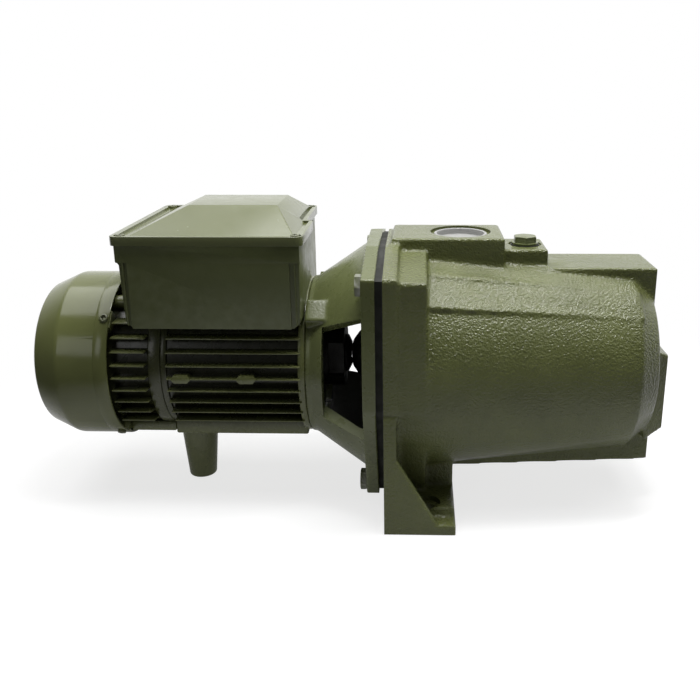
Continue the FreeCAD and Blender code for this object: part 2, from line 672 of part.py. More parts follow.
def flange_washers():
    near_face = LANTERN_FLANGE - WASHER_THICK
    return Part.makeCompound([tube(near_face, LANTERN_FLANGE, WASHER_R, BOLT_R + 0.2, y, SHAFT_Z + h)
                              for y, h in bolt_places()])


# ---- Shaft seal ---------------------------------------------------------------------------------
def seal_seat_cup():
    return tube(-60, -52, 17.0, 15.0).fuse(tube(-60, -58.5, 17.0, 11.0)).removeSplitter()


def seal_seat():
    return tube(-58.5, -50.5, 15.0, 10.6)


def seal_face():
    """Turning carbon ring that runs on the seat."""
    return tube(-50.5 + CLEAR, -46.5, 14.0, 9.5)


def seal_bellows():
    return turned([(-50, SEAL_SHAFT_R), (-50, 9.5), (-46.5, 9.5), (-46.5, 13), (-45.5, 13), (-45.5, 9.8),
                   (-36, 9.8), (-36, SEAL_SHAFT_R)])


def seal_spring():
    """Round wire coil between the bellows and the impeller, its section an octagon."""
    pitch = 2.4
    wire_r = 0.8
    helix = Part.makeHelix(pitch, 3.5 * pitch, 11.5)
    path = helix.Edges[0]
    start = path.valueAt(path.FirstParameter)
    sideways = path.tangentAt(path.FirstParameter).cross(X_AXIS)
    sideways.normalize()
    corners = []
    for i in range(8):
        angle = math.pi * i / 4
        corners.append(start + X_AXIS * (wire_r * math.cos(angle)) + sideways * (wire_r * math.sin(angle)))
    section = Part.makePolygon(corners + corners[:1])
    coil = Part.Wire(helix.Edges).makePipeShell([section], True, True)
    coil.Placement = FreeCAD.Placement(V(-44.6, 0, SHAFT_Z), FreeCAD.Rotation(Z_AXIS, X_AXIS))
    return coil


# ---- Impeller, diffuser and ejector -------------------------------------------------------------
def curved_vane(radius_in, radius_out, x0, x1, sweep, thick, hand=1):
    """Vane whose midline turns through sweep degrees between two radii."""
    outer_side = []
    inner_side = []
    steps = 6
    for i in range(steps + 1):
        share = i / steps
        radius = radius_in + (radius_out - radius_in) * share
        angle = math.radians(hand * sweep * share)
        half = thick / 2 / radius
        outer_side.append(V(x0, radius * math.sin(angle + half), SHAFT_Z + radius * math.cos(angle + half)))
        inner_side.append(V(x0, radius * math.sin(angle - half), SHAFT_Z + radius * math.cos(angle - half)))
    return face_of(outer_side + inner_side[::-1]).extrude(V(x1 - x0, 0, 0))


def impeller():
    back = tube(-33, -30, IMPELLER_R, IMPELLER_SHAFT_R)
    hub = turned([(-33, IMPELLER_SHAFT_R), (-33, 13), (-22, 12), (-12, 11), (-12, IMPELLER_SHAFT_R)])
    front = turned([(-24, IMPELLER_R), (-22, IMPELLER_R), (-20, 26), (-18, EYE_R + 2.5), (-12, EYE_R + 2.5),
                    (-12, EYE_R), (-20, EYE_R), (-23.2, 30)])
    vanes = [around(curved_vane(18, IMPELLER_R - 0.3, -31, -22, 70, 2.4), 360 / VANE_COUNT * i)
             for i in range(VANE_COUNT)]
    room = turned([(-31, 0), (-31, IMPELLER_R), (-23, IMPELLER_R), (-22, 30), (-19, EYE_R + 1), (-19, 0)])
    body = fuse([back, hub, front] + [vane.common(room) for vane in vanes])
    return body.cut(rod(-40, 0, IMPELLER_SHAFT_R)).cut(block(-34, -13, -2.5, 2.5, SHAFT_Z, SHAFT_Z + 9.3))


def impeller_key():
    return block(-31, -15, -2.5, 2.5, SHAFT_Z + 4.2, SHAFT_Z + 9.2)


def impeller_washer():
    return tube(-12, -10.5, 10.5, 5.2)


def impeller_nut():
    nut = hexagon(V(-10.5, 0, SHAFT_Z), 17.0, 8.5, X_AXIS)
    return nut.cut(rod(-12, 0, 5.0))


def diffuser():
    """Moulded guide wheel round the impeller, with the chamber that feeds its eye."""
    wall = rod(-18, -14, 90.0)
    guides = [around(curved_vane(68, 88, -33.5, -17, 40, 3.0, -1), 360 / GUIDE_COUNT * i)
              for i in range(GUIDE_COUNT)]
    offset = SUCTION_Z - SHAFT_Z
    chamber = fuse([rod(-16, 14, 30.0), rod(-16, 14, 26.0, 0, SUCTION_Z),
                    block(-16, 14, -26, 26, SUCTION_Z, SHAFT_Z)])
    inside = fuse([rod(-19, 9, 23.2), rod(-11, 9, 19.0, 0, SUCTION_Z),
                   block(-11, 9, -19, 19, SUCTION_Z, SHAFT_Z)])
    notches = [around(block(-19, -13, -13, 13, SHAFT_Z + 78, SHAFT_Z + 92), 360 / GUIDE_COUNT * (i + 0.1))
               for i in range(GUIDE_COUNT)]
    body = fuse([cut_all(wall, notches), chamber] + guides).cut(inside).cut(rod(-19, -10.5, 25.5))
    return body.cut(rod(8, 15, 16.0, 0, SHAFT_Z + offset))


def neck_ring():
    """Wear ring round the impeller's eye."""
    return tube(-17.5, -10.5, 25.5, EYE_R + 2.5 + 0.08)


VENTURI_X = (8.5, 150.0)


def venturi_tube():
    """Tube that widens from its throat towards the impeller."""
    outside = [(VENTURI_X[0], 15.9), (14.0, 15.9), (14.0, 18.5), (18.0, 18.5), (130.0, 13.0), (138.0, 18.0),
               (VENTURI_X[1], 18.0)]
    inside = [(VENTURI_X[1], 14.0), (134.0, 7.5), (120.0, 7.5), (VENTURI_X[0], 13.5)]
    return turned(outside + inside, 0.0, SUCTION_Z)


def venturi_ring():
    """Rubber ring on the venturi's mouth, in the wall of the suction chamber."""
    return turned([(142, 18.0), (142, 20.0), (146, 20.0), (146, 18.0)], 0.0, SUCTION_Z)


NOZZLE_X = 172.0
CHAMBER_X = (148.0, 196.0)
CHAMBER_HALF_Y = 34.0
CHAMBER_Z = (66.0, 138.0)
CHAMBER_WALL = 5.0


def ejector_nozzle():
    """Elbow that turns the water from below into a jet along the venturi."""
    base = CHAMBER_Z[0] - 3
    outer = fuse([post(base, SUCTION_Z, 9.0, NOZZLE_X, 0), post(base, base + 3, 13.0, NOZZLE_X, 0)])
    jet = turned([(NOZZLE_X + 8, 0), (NOZZLE_X + 8, 9), (162, 9), (152, 6.5), (152, 0)], 0.0, SUCTION_Z)
    bore = turned([(NOZZLE_X, 0), (NOZZLE_X, 6), (163, 6), (151, 3.5), (151, 0)], 0.0, SUCTION_Z)
    return fuse([outer, jet]).cut(bore).cut(post(base - 1, SUCTION_Z, 6.0, NOZZLE_X, 0))


# ---- Pump casing --------------------------------------------------------------------------------
DRAIN_X = 170.0
DRAIN_Z = 40.0
KEEL_HALF_Y = 31.0
KEEL_END = 207.5
PLATE_TOP = 220.5
PLATE_END = 202.6
THREAD_Z = (PORT_TOP - PORT_RECESS_DEEP - PORT_LEAD_DEEP - THREAD_LENGTH,
            PORT_TOP - PORT_RECESS_DEEP - PORT_LEAD_DEEP)


def casing_outside():
    flange = prism_x(flange_outline(0.0), BODY_START, NECK_START)
    neck = prism_x(flange_outline(6.0), NECK_START - 1, BARREL_START)
    barrel = turned([(NECK_START, 0), (NECK_START, BARREL_R), (0, BARREL_R), (BARREL_END, BARREL_SMALL_R),
                     (END_FACE, END_FACE_R), (END_FACE, 0)])
    port = block(PORT_X[0] + 4, PORT_X[1], -PORT_HALF_Y, PORT_HALF_Y, SHAFT_Z + 60, PORT_TOP)
    fill_boss = block(PORT_X[1] - 2, 106, -26, 26, SHAFT_Z + 60, FILL_TOP)
    top_plate = block(PORT_X[1] - 2, PLATE_END, -31, 31, SHAFT_Z + 40, PLATE_TOP)
    keel = prism_y([(-20, SHAFT_Z - 50), (-20, SHAFT_Z - 105), (KEEL_END - 4, SHAFT_Z - 95.5),
                    (KEEL_END, SHAFT_Z - 91), (KEEL_END, SHAFT_Z - 50)], -KEEL_HALF_Y, KEEL_HALF_Y)
    boss = frustum(END_FACE - 2, SUCTION_FACE, (-44, 44, SHAFT_Z - 70, SHAFT_Z + 20),
                   (-33, 33, SHAFT_Z - 59, SHAFT_Z + 10))
    drain_boss = Part.makeCylinder(9.5, 8, V(DRAIN_X, KEEL_HALF_Y - 4, DRAIN_Z), Y_AXIS)
    return fuse([flange, neck, barrel, port, fill_boss, top_plate, keel, boss, drain_boss])


FOOT_FRONT_THICK = 11.0
SPOT_FACE = 12.0
SPOT_FACE_R = 11.0
RIB_Y = 50.0
RIB_THICK = 8.0


def casing_foot():
    """Foot plate with a ledge, two leaning side webs and two ribs under the barrel."""
    x0, x1 = FOOT_X
    pad = block(x0, x1, -FOOT_HALF_Y, FOOT_HALF_Y, 0, FOOT_PAD)
    raised = block(x0, x1 - 0.8, -LEDGE_HALF_Y, LEDGE_HALF_Y, 0, LEDGE_TOP)
    raised = cut_all(raised, [post(SPOT_FACE, LEDGE_TOP + 1, SPOT_FACE_R, 0, side * FOOT_HOLE_Y)
                              for side in (-1, 1)])
    ground = -SHAFT_Z
    front = prism_x(mirror_pair([(FLANGE_HALF_Y, -20), (FOOT_HALF_Y, ground + 10), (FOOT_HALF_Y, ground)]),
                    x0, x0 + FOOT_FRONT_THICK)
    side_profile = prism_y([(x0, 0), (x0, 90), (NECK_START, SHAFT_Z - 61), (10.6, FOOT_PAD), (10.6, 0)],
                           -FOOT_HALF_Y - 1, FOOT_HALF_Y + 1)
    webs = []
    for side in (-1, 1):
        strip = [(side * FLANGE_HALF_Y, -30), (side * FOOT_HALF_Y, ground + 10), (side * FOOT_HALF_Y, ground),
                 (side * (FOOT_HALF_Y - WEB_THICK), ground), (side * (FLANGE_HALF_Y - WEB_THICK), -30)]
        webs.append(prism_x(strip, x0, x1).common(side_profile))
    ribs = [block(x0, x1 - 1, side * RIB_Y - RIB_THICK / 2, side * RIB_Y + RIB_THICK / 2, 0, SHAFT_Z - 84)
            for side in (-1, 1)]
    return fuse([pad, raised, front] + ribs + webs)


DUCT_R = 20.0
THREAD_BOSS_R = 28.5         # ring of metal that hangs into the water space round the outlet's thread


def casing_inside():
    """Water space: bore, cone, suction chamber and the ways out to the ports."""
    wall = CASING_WALL
    bore = rod(BODY_START - 1, -14, 92.0)
    cone = turned([(-15, 0), (-15, 87), (0, BARREL_R - wall), (BARREL_END - 2, BARREL_SMALL_R - wall),
                   (END_FACE - 8, END_FACE_R - wall), (END_FACE - 8, 0)])
    chamber_shell = block(CHAMBER_X[0] - CHAMBER_WALL, CHAMBER_X[1] + 10, -CHAMBER_HALF_Y, CHAMBER_HALF_Y,
                          CHAMBER_Z[0] - CHAMBER_WALL, CHAMBER_Z[1])
    duct = post(SHAFT_Z + 60, THREAD_Z[0] + 0.5, DUCT_R, DISCHARGE_X, 0)
    top_pocket = block(78, PLATE_END - 10, -22, 22, SHAFT_Z + 60, PLATE_TOP - 8)
    thread_boss = post(THREAD_Z[0] - 3, PORT_TOP, THREAD_BOSS_R, DISCHARGE_X, 0)
    return fuse([bore, cone.cut(chamber_shell).cut(thread_boss), duct, top_pocket])


def pump_body():
    body = fuse([casing_outside(), casing_foot()])
    body = body.cut(casing_inside())
    wall = CHAMBER_WALL
    inner_y = CHAMBER_HALF_Y - wall
    body = body.cut(block(CHAMBER_X[0], CHAMBER_X[1] - 2, -inner_y, inner_y,
                          CHAMBER_Z[0], CHAMBER_Z[1] - wall))
    body = body.cut(rod(CHAMBER_X[0] - wall - 1, CHAMBER_X[0] + 2, 18.0, 0, SUCTION_Z))
    body = body.cut(rod(142, 146, 20.0, 0, SUCTION_Z))
    body = body.cut(post(CHAMBER_Z[0] - wall - 1, CHAMBER_Z[0] + 1, 9.0, NOZZLE_X, 0))
    body = body.cut(post(CHAMBER_Z[0] - 3, CHAMBER_Z[0] + 1, 13.0, NOZZLE_X, 0))
    body = body.cut(rod(CHAMBER_X[1] - 4, SUCTION_FACE + 1, THREAD_R, 0, SUCTION_Z))
    body = body.cut(post(THREAD_Z[0], PORT_TOP, THREAD_R, DISCHARGE_X, 0))
    body = body.cut(post(THREAD_Z[1], PORT_TOP, PORT_LEAD_R, DISCHARGE_X, 0))
    body = body.cut(post(PORT_TOP - PORT_RECESS_DEEP, PORT_TOP + 1, PORT_RECESS_R, DISCHARGE_X, 0))
    body = body.cut(post(SHAFT_Z + 60, FILL_TOP + 1, 10.0, FILL_X, 0))
    body = body.cut(post(FILL_TOP - 1.5, FILL_TOP + 1, 15.0, FILL_X, 0))
    drain = Part.makeCylinder(6.0, 70, V(DRAIN_X, -10, DRAIN_Z), Y_AXIS)
    body = body.cut(drain.cut(block(0, 300, -40, 0, 0, 300)))
    body = body.cut(post(DRAIN_Z - 4, SHAFT_Z - 50, 6.0, DRAIN_X, 6))
    for side in (-1, 1):
        body = body.cut(post(-1, FOOT_PAD + 40, FOOT_HOLE_R, 0, side * FOOT_HOLE_Y))
    for y, h in bolt_places():
        body = body.cut(rod(BODY_START - 1, -26.5, BOLT_R, y, SHAFT_Z + h))
    return body


def discharge_cap():
    """Thin cup pushed into the outlet's lead-in to keep dirt out."""
    radius = PORT_LEAD_R - 0.06
    cup = post(THREAD_Z[1] + 0.4, PORT_TOP - 1.2, radius, DISCHARGE_X, 0)
    return cup.cut(post(THREAD_Z[1] + 2.0, PORT_TOP, radius - 1.6, DISCHARGE_X, 0))


def fill_plug():
    seat = FILL_TOP - 1.5
    head = hexagon(V(FILL_X, 0, seat + 2), 19.0, 7.0, Z_AXIS)
    collar = post(seat + 1.5, seat + 3.5, 12.0, FILL_X, 0)
    return fuse([head, collar, post(seat - 13, seat + 2, 9.95, FILL_X, 0)])


def fill_washer():
    seat = FILL_TOP - 1.5
    return post(seat, seat + 1.5, 13.0, FILL_X, 0).cut(post(seat - 1, seat + 3, 10.1, FILL_X, 0))


def drain_plug():
    face = KEEL_HALF_Y + 4
    head = hexagon(V(DRAIN_X, face + 1.5, DRAIN_Z), 13.0, 6.0, Y_AXIS)
    stem = Part.makeCylinder(5.95, 13, V(DRAIN_X, face - 11, DRAIN_Z), Y_AXIS)
    return head.fuse(stem)


def drain_washer():
    face = KEEL_HALF_Y + 4
    ring = Part.makeCylinder(8.0, 1.5, V(DRAIN_X, face, DRAIN_Z), Y_AXIS)
    return ring.cut(Part.makeCylinder(6.1, 4, V(DRAIN_X, face - 1, DRAIN_Z), Y_AXIS))


# ---- All nodes ----------------------------------------------------------------------------------
save("fan_cover", fan_cover())
save("fan_cover_screws", Part.makeCompound([cover_screw(angle) for angle in SCREW_ANGLES]))
save("cooling_fan", cooling_fan())
save("fan_clip", fan_clip())
save("rear_end_shield", rear_end_shield())
save("preload_washer", preload_washer())
for place, start in (("rear", REAR_BRG), ("front", FRONT_BRG)):
    save(place + "_bearing_outer", bearing_outer(start))
    save(place + "_bearing_inner", bearing_inner(start))
    save(place + "_bearing_balls", bearing_balls(start))
    save(place + "_bearing_cage", bearing_cage(start))
save("motor_frame", motor_frame())
save("motor_leg", motor_leg())
save("leg_screw", leg_screw())
save("stator_core", stator_core())
save("stator_windings", stator_windings())
save("rotor_core", rotor_core())
save("rotor_cage", rotor_cage())
save("shaft", shaft())
save("tie_rods", tie_rods())
save("terminal_box_base", terminal_box_base())
save("box_screws", box_screws())
save("terminal_box_gasket", terminal_box_gasket())
save("terminal_box_lid", terminal_box_lid())
save("lid_screws", lid_screws())
save("terminal_block", terminal_block())
save("terminal_studs", terminal_studs())
save("capacitor", capacitor())
save("capacitor_strap", capacitor_strap())
save("cable_gland", cable_gland())
save("gland_nut", gland_nut())
save("lantern_bracket", lantern_bracket())
save("water_slinger", water_slinger())
save("seal_plate", seal_plate())
save("casing_gasket", casing_gasket())
save("flange_bolts", flange_bolts())
save("flange_washers", flange_washers())
save("seal_seat_cup", seal_seat_cup())
save("seal_seat", seal_seat())
save("seal_face", seal_face())
save("seal_bellows", seal_bellows())
save("seal_spring", seal_spring())
save("impeller", impeller())
save("impeller_key", impeller_key())
save("impeller_washer", impeller_washer())
save("impeller_nut", impeller_nut())
save("diffuser", diffuser())
save("neck_ring", neck_ring())
save("venturi_tube", venturi_tube())
save("venturi_ring", venturi_ring())
save("ejector_nozzle", ejector_nozzle())
save("pump_body", pump_body())
save("discharge_cap", discharge_cap())
save("fill_plug", fill_plug())
save("fill_washer", fill_washer())
save("drain_plug", drain_plug())
save("drain_washer", drain_washer())
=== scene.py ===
import bpy
import math
from mathutils import Matrix, Vector


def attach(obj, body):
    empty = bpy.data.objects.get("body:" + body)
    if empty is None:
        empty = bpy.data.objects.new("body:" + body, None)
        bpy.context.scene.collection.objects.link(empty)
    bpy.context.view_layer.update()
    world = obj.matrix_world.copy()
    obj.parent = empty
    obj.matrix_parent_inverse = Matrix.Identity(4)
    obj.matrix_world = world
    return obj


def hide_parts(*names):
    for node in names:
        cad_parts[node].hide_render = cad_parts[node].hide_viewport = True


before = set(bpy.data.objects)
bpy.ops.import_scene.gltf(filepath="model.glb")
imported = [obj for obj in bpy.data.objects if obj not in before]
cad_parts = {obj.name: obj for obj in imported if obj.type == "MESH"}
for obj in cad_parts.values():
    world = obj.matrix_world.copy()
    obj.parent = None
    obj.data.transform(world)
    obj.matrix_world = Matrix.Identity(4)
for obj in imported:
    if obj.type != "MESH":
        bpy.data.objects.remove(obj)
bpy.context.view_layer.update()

# ----------------------------------------------------------------------
# Studio: a plain pale floor that fades into a white surround, one large soft lamp overhead,
# two weak ones in front, a narrow one above for the glints, and a camera a little above the
# pump on its near side.
# ----------------------------------------------------------------------
scene = bpy.context.scene
scene.view_settings.view_transform = "Standard"

bpy.ops.object.select_all(action="DESELECT")
bpy.ops.mesh.primitive_plane_add(size=12.0, location=(0.0, 0.0, -0.0005))
floor = bpy.context.object
floor.name = "studio_floor"
floor_material = bpy.data.materials.new("studio_floor")
floor_material.use_nodes = True
nodes, links = floor_material.node_tree.nodes, floor_material.node_tree.links
floor_shader = nodes["Principled BSDF"]
floor_shader.inputs["Base Color"].default_value = (0.32, 0.32, 0.32, 1.0)
floor_shader.inputs["Roughness"].default_value = 0.9
floor_shader.inputs["Specular IOR Level"].default_value = 0.0
floor_shader.inputs["Emission Color"].default_value = (1.0, 1.0, 1.0, 1.0)
floor_place = nodes.new("ShaderNodeTexCoord")
floor_distance = nodes.new("ShaderNodeVectorMath")
floor_distance.operation = "LENGTH"
floor_fade = nodes.new("ShaderNodeMapRange")
floor_fade.interpolation_type = "SMOOTHSTEP"
floor_fade.inputs["From Min"].default_value = 0.34
floor_fade.inputs["From Max"].default_value = 0.62
floor_clear = nodes.new("ShaderNodeBsdfTransparent")
floor_mix = nodes.new("ShaderNodeMixShader")
floor_sight = nodes.new("ShaderNodeLightPath")
floor_glow = nodes.new("ShaderNodeMath")
floor_glow.operation = "MULTIPLY_ADD"
floor_glow.inputs[1].default_value = 0.52
floor_glow.inputs[2].default_value = 0.22
links.new(floor_sight.outputs["Is Camera Ray"], floor_glow.inputs[0])
links.new(floor_glow.outputs[0], floor_shader.inputs["Emission Strength"])
links.new(floor_place.outputs["Object"], floor_distance.inputs[0])
links.new(floor_distance.outputs["Value"], floor_fade.inputs["Value"])
links.new(floor_fade.outputs["Result"], floor_mix.inputs["Fac"])
links.new(floor_shader.outputs["BSDF"], floor_mix.inputs[1])
links.new(floor_clear.outputs["BSDF"], floor_mix.inputs[2])
links.new(floor_mix.outputs["Shader"], nodes["Material Output"].inputs["Surface"])
floor.data.materials.append(floor_material)

# The surround is white to the eye and in reflections of the backdrop, and dim towards the front.
world = bpy.data.worlds.new("studio_surround")
world.use_nodes = True
scene.world = world
nodes, links = world.node_tree.nodes, world.node_tree.links
surround = nodes["Background"]
surround.inputs["Color"].default_value = (1.0, 1.0, 1.0, 1.0)
light_path = nodes.new("ShaderNodeLightPath")
direction = nodes.new("ShaderNodeTexCoord")
direction_parts = nodes.new("ShaderNodeSeparateXYZ")
links.new(direction.outputs["Generated"], direction_parts.inputs["Vector"])
backness = nodes.new("ShaderNodeMapRange")
backness.interpolation_type = "SMOOTHSTEP"
backness.inputs["From Min"].default_value = -0.1
backness.inputs["From Max"].default_value = 0.6
backness.inputs["To Min"].default_value = 0.05
backness.inputs["To Max"].default_value = 1.0
links.new(direction_parts.outputs["Y"], backness.inputs["Value"])
mirrored = nodes.new("ShaderNodeMath")
mirrored.operation = "MAXIMUM"
links.new(light_path.outputs["Is Glossy Ray"], mirrored.inputs[0])
links.new(light_path.outputs["Is Transmission Ray"], mirrored.inputs[1])
lighting = nodes.new("ShaderNodeMapRange")
lighting.inputs["To Min"].default_value = 0.28
lighting.inputs["To Max"].default_value = 1.0
links.new(mirrored.outputs[0], lighting.inputs["Value"])
sideways = nodes.new("ShaderNodeMath")
sideways.operation = "MULTIPLY"
links.new(backness.outputs["Result"], sideways.inputs[0])
links.new(lighting.outputs["Result"], sideways.inputs[1])
strength = nodes.new("ShaderNodeMath")
strength.operation = "MAXIMUM"
links.new(light_path.outputs["Is Camera Ray"], strength.inputs[0])
links.new(sideways.outputs[0], strength.inputs[1])
links.new(strength.outputs[0], surround.inputs["Strength"])


def soft_light(name, place, target, width, depth, power):
    """Rectangular lamp at place, facing target."""
    bpy.ops.object.light_add(type="AREA", location=place)
    lamp = bpy.context.object
    lamp.name = name
    lamp.data.shape = "RECTANGLE"
    lamp.data.size = width
    lamp.data.size_y = depth
    lamp.data.energy = power
    lamp.rotation_euler = (Vector(target) - Vector(place)).to_track_quat("-Z", "Y").to_euler()


soft_light("overhead", (0.0, 0.10, 1.40), (0.0, 0.0, 0.1), 2.4, 1.2, 27.0)
soft_light("front_left", (-0.95, -1.3, 0.75), (-0.1, 0.0, 0.12), 0.45, 0.6, 1.1)
soft_light("front_right", (0.8, -0.85, 1.25), (0.05, 0.0, 0.15), 1.1, 0.8, 1.4)
soft_light("sparkle", (0.10, -0.10, 1.25), (0.05, 0.0, 0.15), 0.6, 0.12, 9.0)

# The view looks along the pump's side from a little above shaft height.
HEADING = math.radians(1.71)
LOOK_DOWN = math.radians(16.74)
ROLL = math.radians(-0.21)
camera_data = bpy.data.cameras.new("camera")
camera = bpy.data.objects.new("camera", camera_data)
scene.collection.objects.link(camera)
camera_data.lens = 41.7
camera_data.shift_x = -0.0675
camera_data.shift_y = -0.052
camera.location = (-0.0077, -0.7366, 0.3899)
turn = Matrix.Rotation(HEADING, 3, "Z") @ Matrix.Rotation(math.pi / 2 - LOOK_DOWN, 3, "X")
camera.rotation_euler = (turn @ Matrix.Rotation(ROLL, 3, "Z")).to_euler()
scene.camera = camera

# ----------------------------------------------------------------------
# Motor frame: an aluminium die casting painted olive, a tube with level cooling fins on both
# sides, a collar at the pump end, a flat pad below for the leg and a neck above for the wires.
# ----------------------------------------------------------------------
SHAFT_Z = 0.129
FRAME_X = (-0.239, -0.109)
FRAME_WALL = 0.065
FRAME_BORE = 0.060
FIN_TIP = 0.075
FIN_PITCH = 0.0116
FIN_THICK = 0.0026
LEG_X = -0.2268


def hold(piece):
    """Makes piece the only selected object and the active one."""
    bpy.ops.object.select_all(action="DESELECT")
    piece.select_set(True)
    bpy.context.view_layer.objects.active = piece


def named(name):
    """Names the primitive just added and writes its place, turn and size into its mesh."""
    piece = bpy.context.object
    piece.name = name
    hold(piece)
    bpy.ops.object.transform_apply(location=True, rotation=True, scale=True)
    return piece


def bar(name, x, y, z):
    """Cuboid between two limits along each axis."""
    middle = [(a + b) / 2 for a, b in (x, y, z)]
    bpy.ops.object.select_all(action="DESELECT")
    bpy.ops.mesh.primitive_cube_add(size=1.0, location=middle)
    bpy.context.object.scale = [b - a for a, b in (x, y, z)]
    return named(name)


def drum(name, x, radius, sides=96, y=0.0, z=SHAFT_Z):
    """Cylinder lying along the shaft's direction."""
    bpy.ops.object.select_all(action="DESELECT")
    bpy.ops.mesh.primitive_cylinder_add(vertices=sides, radius=radius, depth=x[1] - x[0],
                                        location=((x[0] + x[1]) / 2, y, z), rotation=(0, math.pi / 2, 0))
    return named(name)


def upright(name, z, radius, x, y, sides=48):
    """Cylinder standing on the ground plane's axis."""
    bpy.ops.object.select_all(action="DESELECT")
    bpy.ops.mesh.primitive_cylinder_add(vertices=sides, radius=radius, depth=z[1] - z[0],
                                        location=(x, y, (z[0] + z[1]) / 2))
    return named(name)


def modify(piece, kind, **settings):
    """Adds one modifier with its settings and applies it."""
    hold(piece)
    modifier = piece.modifiers.new(kind.lower(), kind)
    for key, value in settings.items():
        setattr(modifier, key, value)
    bpy.ops.object.modifier_apply(modifier=modifier.name)


def combine(piece, others, operation):
    """Unites piece with the others, or cuts them out of it, and removes them."""
    for other in others:
        modify(piece, "BOOLEAN", object=other, operation=operation, solver="EXACT")
        bpy.data.objects.remove(other)
    return piece


def soften(piece, width, steps=2, angle=30.0):
    """Rounds the sharp edges and smooths the shading over them."""
    modify(piece, "BEVEL", width=width, segments=steps, limit_method="ANGLE",
           angle_limit=math.radians(angle), use_clamp_overlap=True, miter_outer="MITER_ARC")
    bpy.ops.object.shade_smooth_by_angle(angle=math.radians(35.0))
    return piece


def pick(piece, test):
    """Opens piece for editing with only the faces for which test(centre, normal) holds selected."""
    hold(piece)
    bpy.context.tool_settings.mesh_select_mode = (False, False, True)
    bpy.ops.object.mode_set(mode="EDIT")
    bpy.ops.mesh.select_all(action="DESELECT")
    bpy.ops.object.mode_set(mode="OBJECT")
    for face in piece.data.polygons:
        face.select = bool(test(face.center, face.normal))
    bpy.ops.object.mode_set(mode="EDIT")


def done():
    """Turns all faces outwards and closes the edit."""
    bpy.ops.mesh.select_all(action="SELECT")
    bpy.ops.mesh.normals_make_consistent(inside=False)
    bpy.ops.object.mode_set(mode="OBJECT")


def slab(name, corners, low, high, across="Y"):
    """Flat plate with an outline of corners, thick along one axis from low to high."""
    bpy.ops.object.select_all(action="DESELECT")
    bpy.ops.mesh.primitive_circle_add(vertices=len(corners), radius=0.1, fill_type="NGON")
    plate = named(name)
    for vertex, (a, z) in zip(plate.data.vertices, corners):
        vertex.co = (a, low, z) if across == "Y" else (low, a, z)
    pick(plate, lambda centre, normal: True)
    away = (0.0, high - low, 0.0) if across == "Y" else (high - low, 0.0, 0.0)
    bpy.ops.mesh.extrude_region_move(TRANSFORM_OT_translate={"value": away})
    done()
    return plate


def finish_of(name, colour, rough, metal=0.0, coat=0.0, grain=600.0, bump=0.05, depth=0.0004,
              mottle=0.12, wear=0.0, wear_colour=(0.55, 0.55, 0.53), speckle=0.0):
    """Finish with uneven colour, uneven gloss, a fine bump and, if asked, edges worn bright."""
    material = bpy.data.materials.new(name)
    material.use_nodes = True
    nodes, links = material.node_tree.nodes, material.node_tree.links
    shader = nodes["Principled BSDF"]
    shader.inputs["Metallic"].default_value = metal
    shader.inputs["Coat Weight"].default_value = coat
    shader.inputs["Coat Roughness"].default_value = 0.18
    place = nodes.new("ShaderNodeTexCoord")

    def noise(scale, detail):
        texture = nodes.new("ShaderNodeTexNoise")
        texture.inputs["Scale"].default_value = scale
        texture.inputs["Detail"].default_value = detail
        links.new(place.outputs["Object"], texture.inputs["Vector"])
        return texture.outputs["Fac"]

    def spread(value, low, high):
        ranged = nodes.new("ShaderNodeMapRange")
        ranged.inputs["From Min"].default_value = 0.3
        ranged.inputs["From Max"].default_value = 0.7
        ranged.inputs["To Min"].default_value = low
        ranged.inputs["To Max"].default_value = high
        links.new(value, ranged.inputs["Value"])
        return ranged.outputs["Result"]

    broad = noise(22.0, 3.0)
    tone = nodes.new("ShaderNodeHueSaturation")
    tone.inputs["Color"].default_value = (*colour, 1.0)
    links.new(spread(broad, 1.0 - mottle, 1.0 + mottle), tone.inputs["Value"])
    paint = tone.outputs["Color"]
    if wear:
        edges = nodes.new("ShaderNodeNewGeometry")
        rubbed = nodes.new("ShaderNodeMapRange")
        rubbed.inputs["From Min"].default_value = 0.56
        rubbed.inputs["From Max"].default_value = 0.66
        rubbed.inputs["To Max"].default_value = wear
        links.new(edges.outputs["Pointiness"], rubbed.inputs["Value"])
        patchy = nodes.new("ShaderNodeMath")
        patchy.operation = "MULTIPLY"
        links.new(rubbed.outputs["Result"], patchy.inputs[0])
        links.new(spread(noise(140.0, 4.0), 0.0, 1.0), patchy.inputs[1])
        worn = nodes.new("ShaderNodeMix")
        worn.data_type = "RGBA"
        worn.inputs["B"].default_value = (*wear_colour, 1.0)
        links.new(patchy.outputs[0], worn.inputs["Factor"])
        links.new(paint, worn.inputs["A"])
        paint = worn.outputs["Result"]
    links.new(paint, shader.inputs["Base Color"])
    links.new(spread(noise(90.0, 4.0), rough * 0.8, rough * 1.25), shader.inputs["Roughness"])
    relief = nodes.new("ShaderNodeBump")
    relief.inputs["Strength"].default_value = bump
    relief.inputs["Distance"].default_value = depth
    links.new(noise(grain, 2.0), relief.inputs["Height"])
    normal = relief.outputs["Normal"]
    if speckle:
        pits = nodes.new("ShaderNodeTexVoronoi")
        pits.inputs["Scale"].default_value = grain * 0.55
        links.new(place.outputs["Object"], pits.inputs["Vector"])
        coarse = nodes.new("ShaderNodeBump")
        coarse.inputs["Strength"].default_value = speckle
        coarse.inputs["Distance"].default_value = depth
        links.new(pits.outputs["Distance"], coarse.inputs["Height"])
        links.new(normal, coarse.inputs["Normal"])
        normal = coarse.outputs["Normal"]
    links.new(normal, shader.inputs["Normal"])
    if coat:
        links.new(normal, shader.inputs["Coat Normal"])
    return material


def dress(piece, material):
    """Gives the whole piece one finish."""
    piece.data.materials.clear()
    piece.data.materials.append(material)
    for face in piece.data.polygons:
        face.material_index = 0


